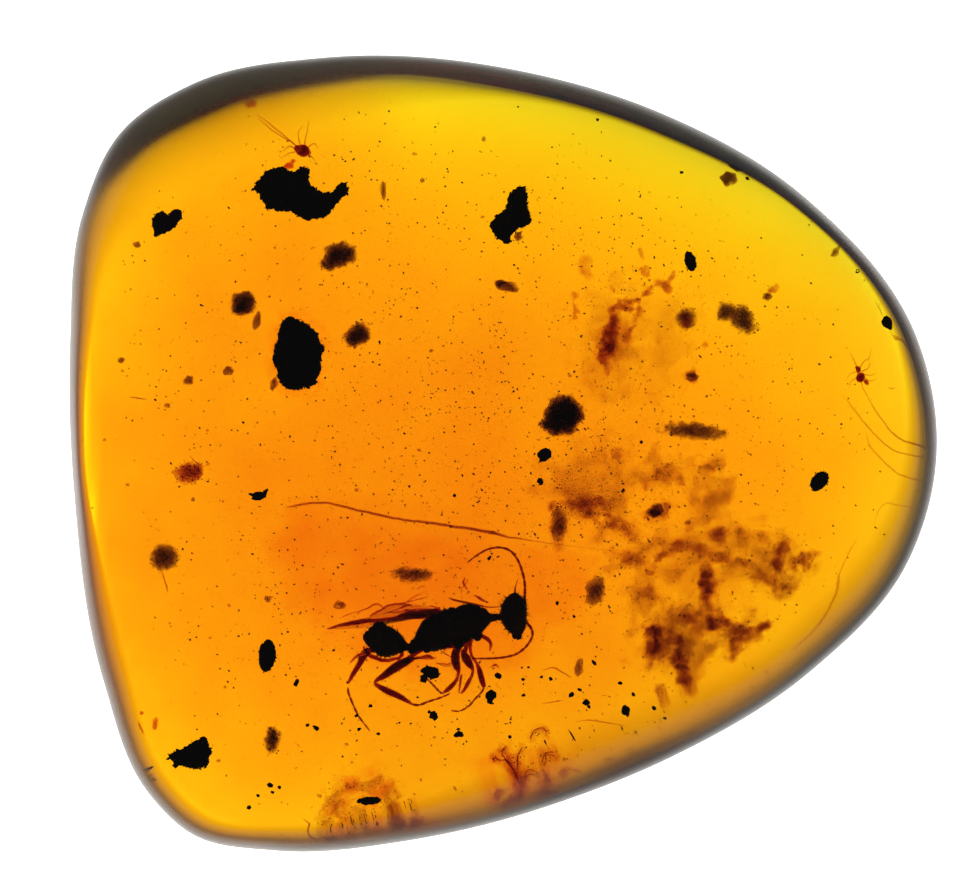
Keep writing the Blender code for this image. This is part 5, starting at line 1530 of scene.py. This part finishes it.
BLACK_BITS = [      # x, y, half length, half width, degrees
    (1.04, -0.06, 0.19, 0.13, 35), (0.95, -0.70, 0.08, 0.08, 0), (-6.26, -1.08, 0.20, 0.10, 10),
    (-6.43, -1.06, 0.10, 0.05, -20), (-6.10, -0.98, 0.08, 0.06, 60),
    (-0.38, -6.14, 0.17, 0.13, 80), (-1.83, -6.68, 0.11, 0.10, -70),
    (-1.93, -6.60, 0.05, 0.04, 0), (-1.23, -7.08, 0.13, 0.08, 8), (-1.25, -6.94, 0.06, 0.03, 10),
    (-0.15, -5.66, 0.08, 0.08, 0), (-0.38, -2.63, 0.05, 0.05, 0), (3.10, -6.50, 0.10, 0.09, 0),
    (2.06, -6.24, 0.09, 0.08, 0), (2.16, -6.40, 0.06, 0.04, -50), (1.73, -6.14, 0.08, 0.06, 30),
    (1.91, -5.94, 0.06, 0.04, -30), (2.31, -5.33, 0.09, 0.05, -50), (1.20, -5.76, 0.05, 0.05, 0),
    (2.92, -5.74, 0.06, 0.04, 0), (3.26, -6.02, 0.05, 0.04, 40), (3.79, -6.29, 0.05, 0.04, 0),
    (4.12, -6.68, 0.05, 0.04, 0), (4.48, -7.01, 0.06, 0.04, 60), (4.37, -6.88, 0.05, 0.04, 0),
    (4.63, -6.78, 0.04, 0.04, 0), (2.95, -6.88, 0.05, 0.03, -20), (3.18, -6.63, 0.04, 0.03, 0),
    (1.35, -3.75, 0.04, 0.04, 0), (0.61, -5.40, 0.04, 0.04, 0), (0.46, -5.68, 0.05, 0.04, 0),
    (0.46, -6.09, 0.04, 0.04, 0), (0.92, -5.61, 0.04, 0.04, 0), (-3.28, -7.13, 0.05, 0.04, 0),
    (-3.48, -6.40, 0.05, 0.04, 0), (0.08, -7.13, 0.05, 0.04, 0), (-3.74, -7.06, 0.05, 0.04, 30),
    (-3.82, -6.68, 0.06, 0.04, 40), (-4.86, -7.01, 0.09, 0.05, -30),
    (-5.09, -6.91, 0.05, 0.04, 0), (-5.32, -5.89, 0.10, 0.06, 60), (-1.25, -1.08, 0.04, 0.04, 0),
    (-6.08, -8.46, 0.06, 0.06, 0), (-5.85, -8.53, 0.05, 0.05, 0), (-6.00, -8.69, 0.05, 0.04, 0),
    (-6.61, -9.09, 0.05, 0.05, 0), (-6.36, -8.81, 0.04, 0.04, 0), (2.39, 8.51, 0.04, 0.04, 0),
    (4.60, 7.21, 0.05, 0.04, 0), (3.05, -0.93, 0.04, 0.04, 0), (3.48, 0.27, 0.04, 0.04, 0),
    (1.78, -4.11, 0.04, 0.04, 0),
]
BROWN_BITS = [
    (1.94, -5.46, 0.26, 0.10, 80), (6.79, 4.01, 0.13, 0.11, 0), (4.75, 1.85, 0.16, 0.12, 20),
    (3.84, -1.40, 0.20, 0.16, 0),
    (-3.13, 6.70, 0.28, 0.08, 95), (-6.33, 3.42, 0.25, 0.10, 80), (-6.04, -3.73, 0.10, 0.09, 0),
    (-4.20, -3.88, 0.17, 0.10, 10), (-8.09, 1.87, 0.14, 0.11, 20), (-7.05, 2.12, 0.15, 0.13, 0),
    (-9.84, 2.40, 0.11, 0.08, 20), (-9.79, 2.12, 0.05, 0.04, 0), (-8.62, 1.23, 0.08, 0.06, 0),
    (-7.96, -1.18, 0.06, 0.06, 0), (-9.44, 5.38, 0.11, 0.09, 0), (8.60, 5.18, 0.18, 0.09, 60),
    (-0.53, 8.08, 0.08, 0.05, 70), (-2.16, 6.91, 0.06, 0.06, 0), (-2.37, 7.59, 0.05, 0.04, 0),
    (-0.61, 5.91, 0.06, 0.04, 0), (-1.88, 2.56, 0.06, 0.05, 0), (-3.74, -0.93, 0.06, 0.05, 0),
    (-5.88, 1.79, 0.18, 0.10, 70), (0.33, 5.43, 0.14, 0.11, 80), (0.03, 4.16, 0.33, 0.14, -18),
    (-0.10, 4.31, 0.15, 0.09, 20), (4.68, -1.72, 0.08, 0.06, 0), (-9.66, -0.80, 0.06, 0.05, 0),
    (-8.88, -2.76, 0.06, 0.05, 0), (5.76, 6.91, 0.22, 0.18, 0), (-4.25, -3.93, 0.06, 0.05, 0),
    (-10.25, 0.34, 0.05, 0.04, 0), (-4.09, -7.41, 0.05, 0.04, 0), (-4.76, -8.81, 0.06, 0.05, 0),
    (-1.83, -7.24, 0.05, 0.04, 40), (-2.21, -8.28, 0.05, 0.04, 70), (-3.92, -7.92, 0.05, 0.04, 0),
    (-1.32, -8.51, 0.05, 0.04, 0), (1.45, -7.64, 0.05, 0.04, 0), (1.70, 1.95, 0.05, 0.04, 0),
    (-2.16, 0.09, 0.05, 0.05, 0), (-7.05, -3.90, 0.05, 0.04, 0), (-7.53, -4.74, 0.05, 0.04, 0),
    (-7.15, -6.02, 0.05, 0.04, 0), (-7.35, -7.92, 0.06, 0.05, 0), (-7.58, 0.60, 0.04, 0.04, 0),
]
RED_BITS = [
    (-6.54, 8.61, 0.11, 0.08, 50), (-6.43, 8.76, 0.11, 0.06, 75), (-5.60, 7.31, 0.15, 0.09, 20),
    (-5.21, 7.21, 0.11, 0.09, 60), (-5.47, 7.46, 0.08, 0.06, 0), (-8.93, -6.96, 0.18, 0.06, 85),
    (-9.23, -6.70, 0.06, 0.05, 60), (-7.58, -0.27, 0.06, 0.04, 30), (-2.67, -4.82, 0.09, 0.06, 0),
]
RIM_PELLETS = [
    (-2.98, -9.08, 0.19, 0.14, 10),
    (9.94, 3.29, 0.27, 0.14, -10), (4.81, 7.95, 0.25, 0.11, -25), (6.36, 7.06, 0.20, 0.15, -20),
    (9.13, 4.72, 0.13, 0.09, -50),
]

PEBBLES = pebble_tree()
SOFT_BROWN = clear_material("soft_brown_crumb", (9.0, 12.5, 16.0))       # wood, brown right through
THIN_RUST = clear_material("thin_rusty_chitin", (5.0, 16.0, 26.0))       # scales, rust-red
for seed, (name, bits, stuff, slot) in enumerate((
        ("black_bits", BLACK_BITS, OLD_BARK, "black_debris"),
        ("brown_bits", BROWN_BITS, SOFT_BROWN, "brown_debris"),
        ("red_bits", RED_BITS, THIN_RUST, "red_debris"),
        ("rim_pellets", RIM_PELLETS, SOIL, "black_debris")), 1):
    seal_in(grown(name, bit_mesh(name, bits, seed), PEBBLES, stuff, Seed=seed), slot)


# %% dust
STONE_MIDDLE = (0.0, 0.0, GIRDLE * MM)
DUST_REACH = 0.88           # how far out the dust lies, as a share of the stone's reach
DUST_LEAST = (0.6, 0.6, 0.6)    # a speck's shape, as shares of its size
DUST_MOST = (1.5, 1.0, 1.0)
SIZE_SEED, SHAPE_SEED, TURN_SEED = 77, 5, 6


def dust_tree():
    """Specks all through a body: points on its surface, each pulled towards the middle."""
    tree, given, output = new_tree("dust", Per_square_mm=3.0, Smallest=0.007, Largest=0.034,
                                   Few_large=3.0, Seed=1)
    points = strewn_points(tree, given)
    draw = add_node(tree, "FunctionNodeRandomValue", {"Min": 0.0, "Max": 1.0, "Seed": given["Seed"]})
    share = add_node(tree, "ShaderNodeMath", {0: draw, 1: 1 / 3}, operation="POWER")
    kept_in = add_node(tree, "ShaderNodeMath", {0: share, 1: DUST_REACH}, operation="MULTIPLY")
    place = add_node(tree, "GeometryNodeInputPosition")
    from_middle = add_node(tree, "ShaderNodeVectorMath", {0: place, 1: STONE_MIDDLE},
                           operation="SUBTRACT")
    pulled = add_node(tree, "ShaderNodeVectorMath", {0: from_middle, "Scale": kept_in},
                      operation="SCALE")
    goal = add_node(tree, "ShaderNodeVectorMath", {0: pulled, 1: STONE_MIDDLE}, operation="ADD")
    spread = add_node(tree, "GeometryNodeSetPosition", {
        "Geometry": points.outputs["Points"], "Position": goal})
    luck = add_node(tree, "FunctionNodeRandomValue", {"Min": 0.0, "Max": 1.0, "Seed": SIZE_SEED})
    rare = add_node(tree, "ShaderNodeMath", {0: luck, 1: given["Few large"]}, operation="POWER")
    size = add_node(tree, "ShaderNodeMapRange", {
        "Value": rare, "To Min": given["Smallest"], "To Max": given["Largest"]})
    squash = add_node(tree, "FunctionNodeRandomValue", {
        "Min": DUST_LEAST, "Max": DUST_MOST, "Seed": SHAPE_SEED}, data_type="FLOAT_VECTOR")
    scale = add_node(tree, "ShaderNodeVectorMath", {0: squash, "Scale": size}, operation="SCALE")
    end_tree(tree, given, output, turned_specks(tree, spread, scale, TURN_SEED))
    return tree


dust = grown("dust", stone.data, dust_tree(), SOIL, Per_square_mm=10.5, Few_large=4.5, Seed=11)
seal_in(dust, "brown_debris")
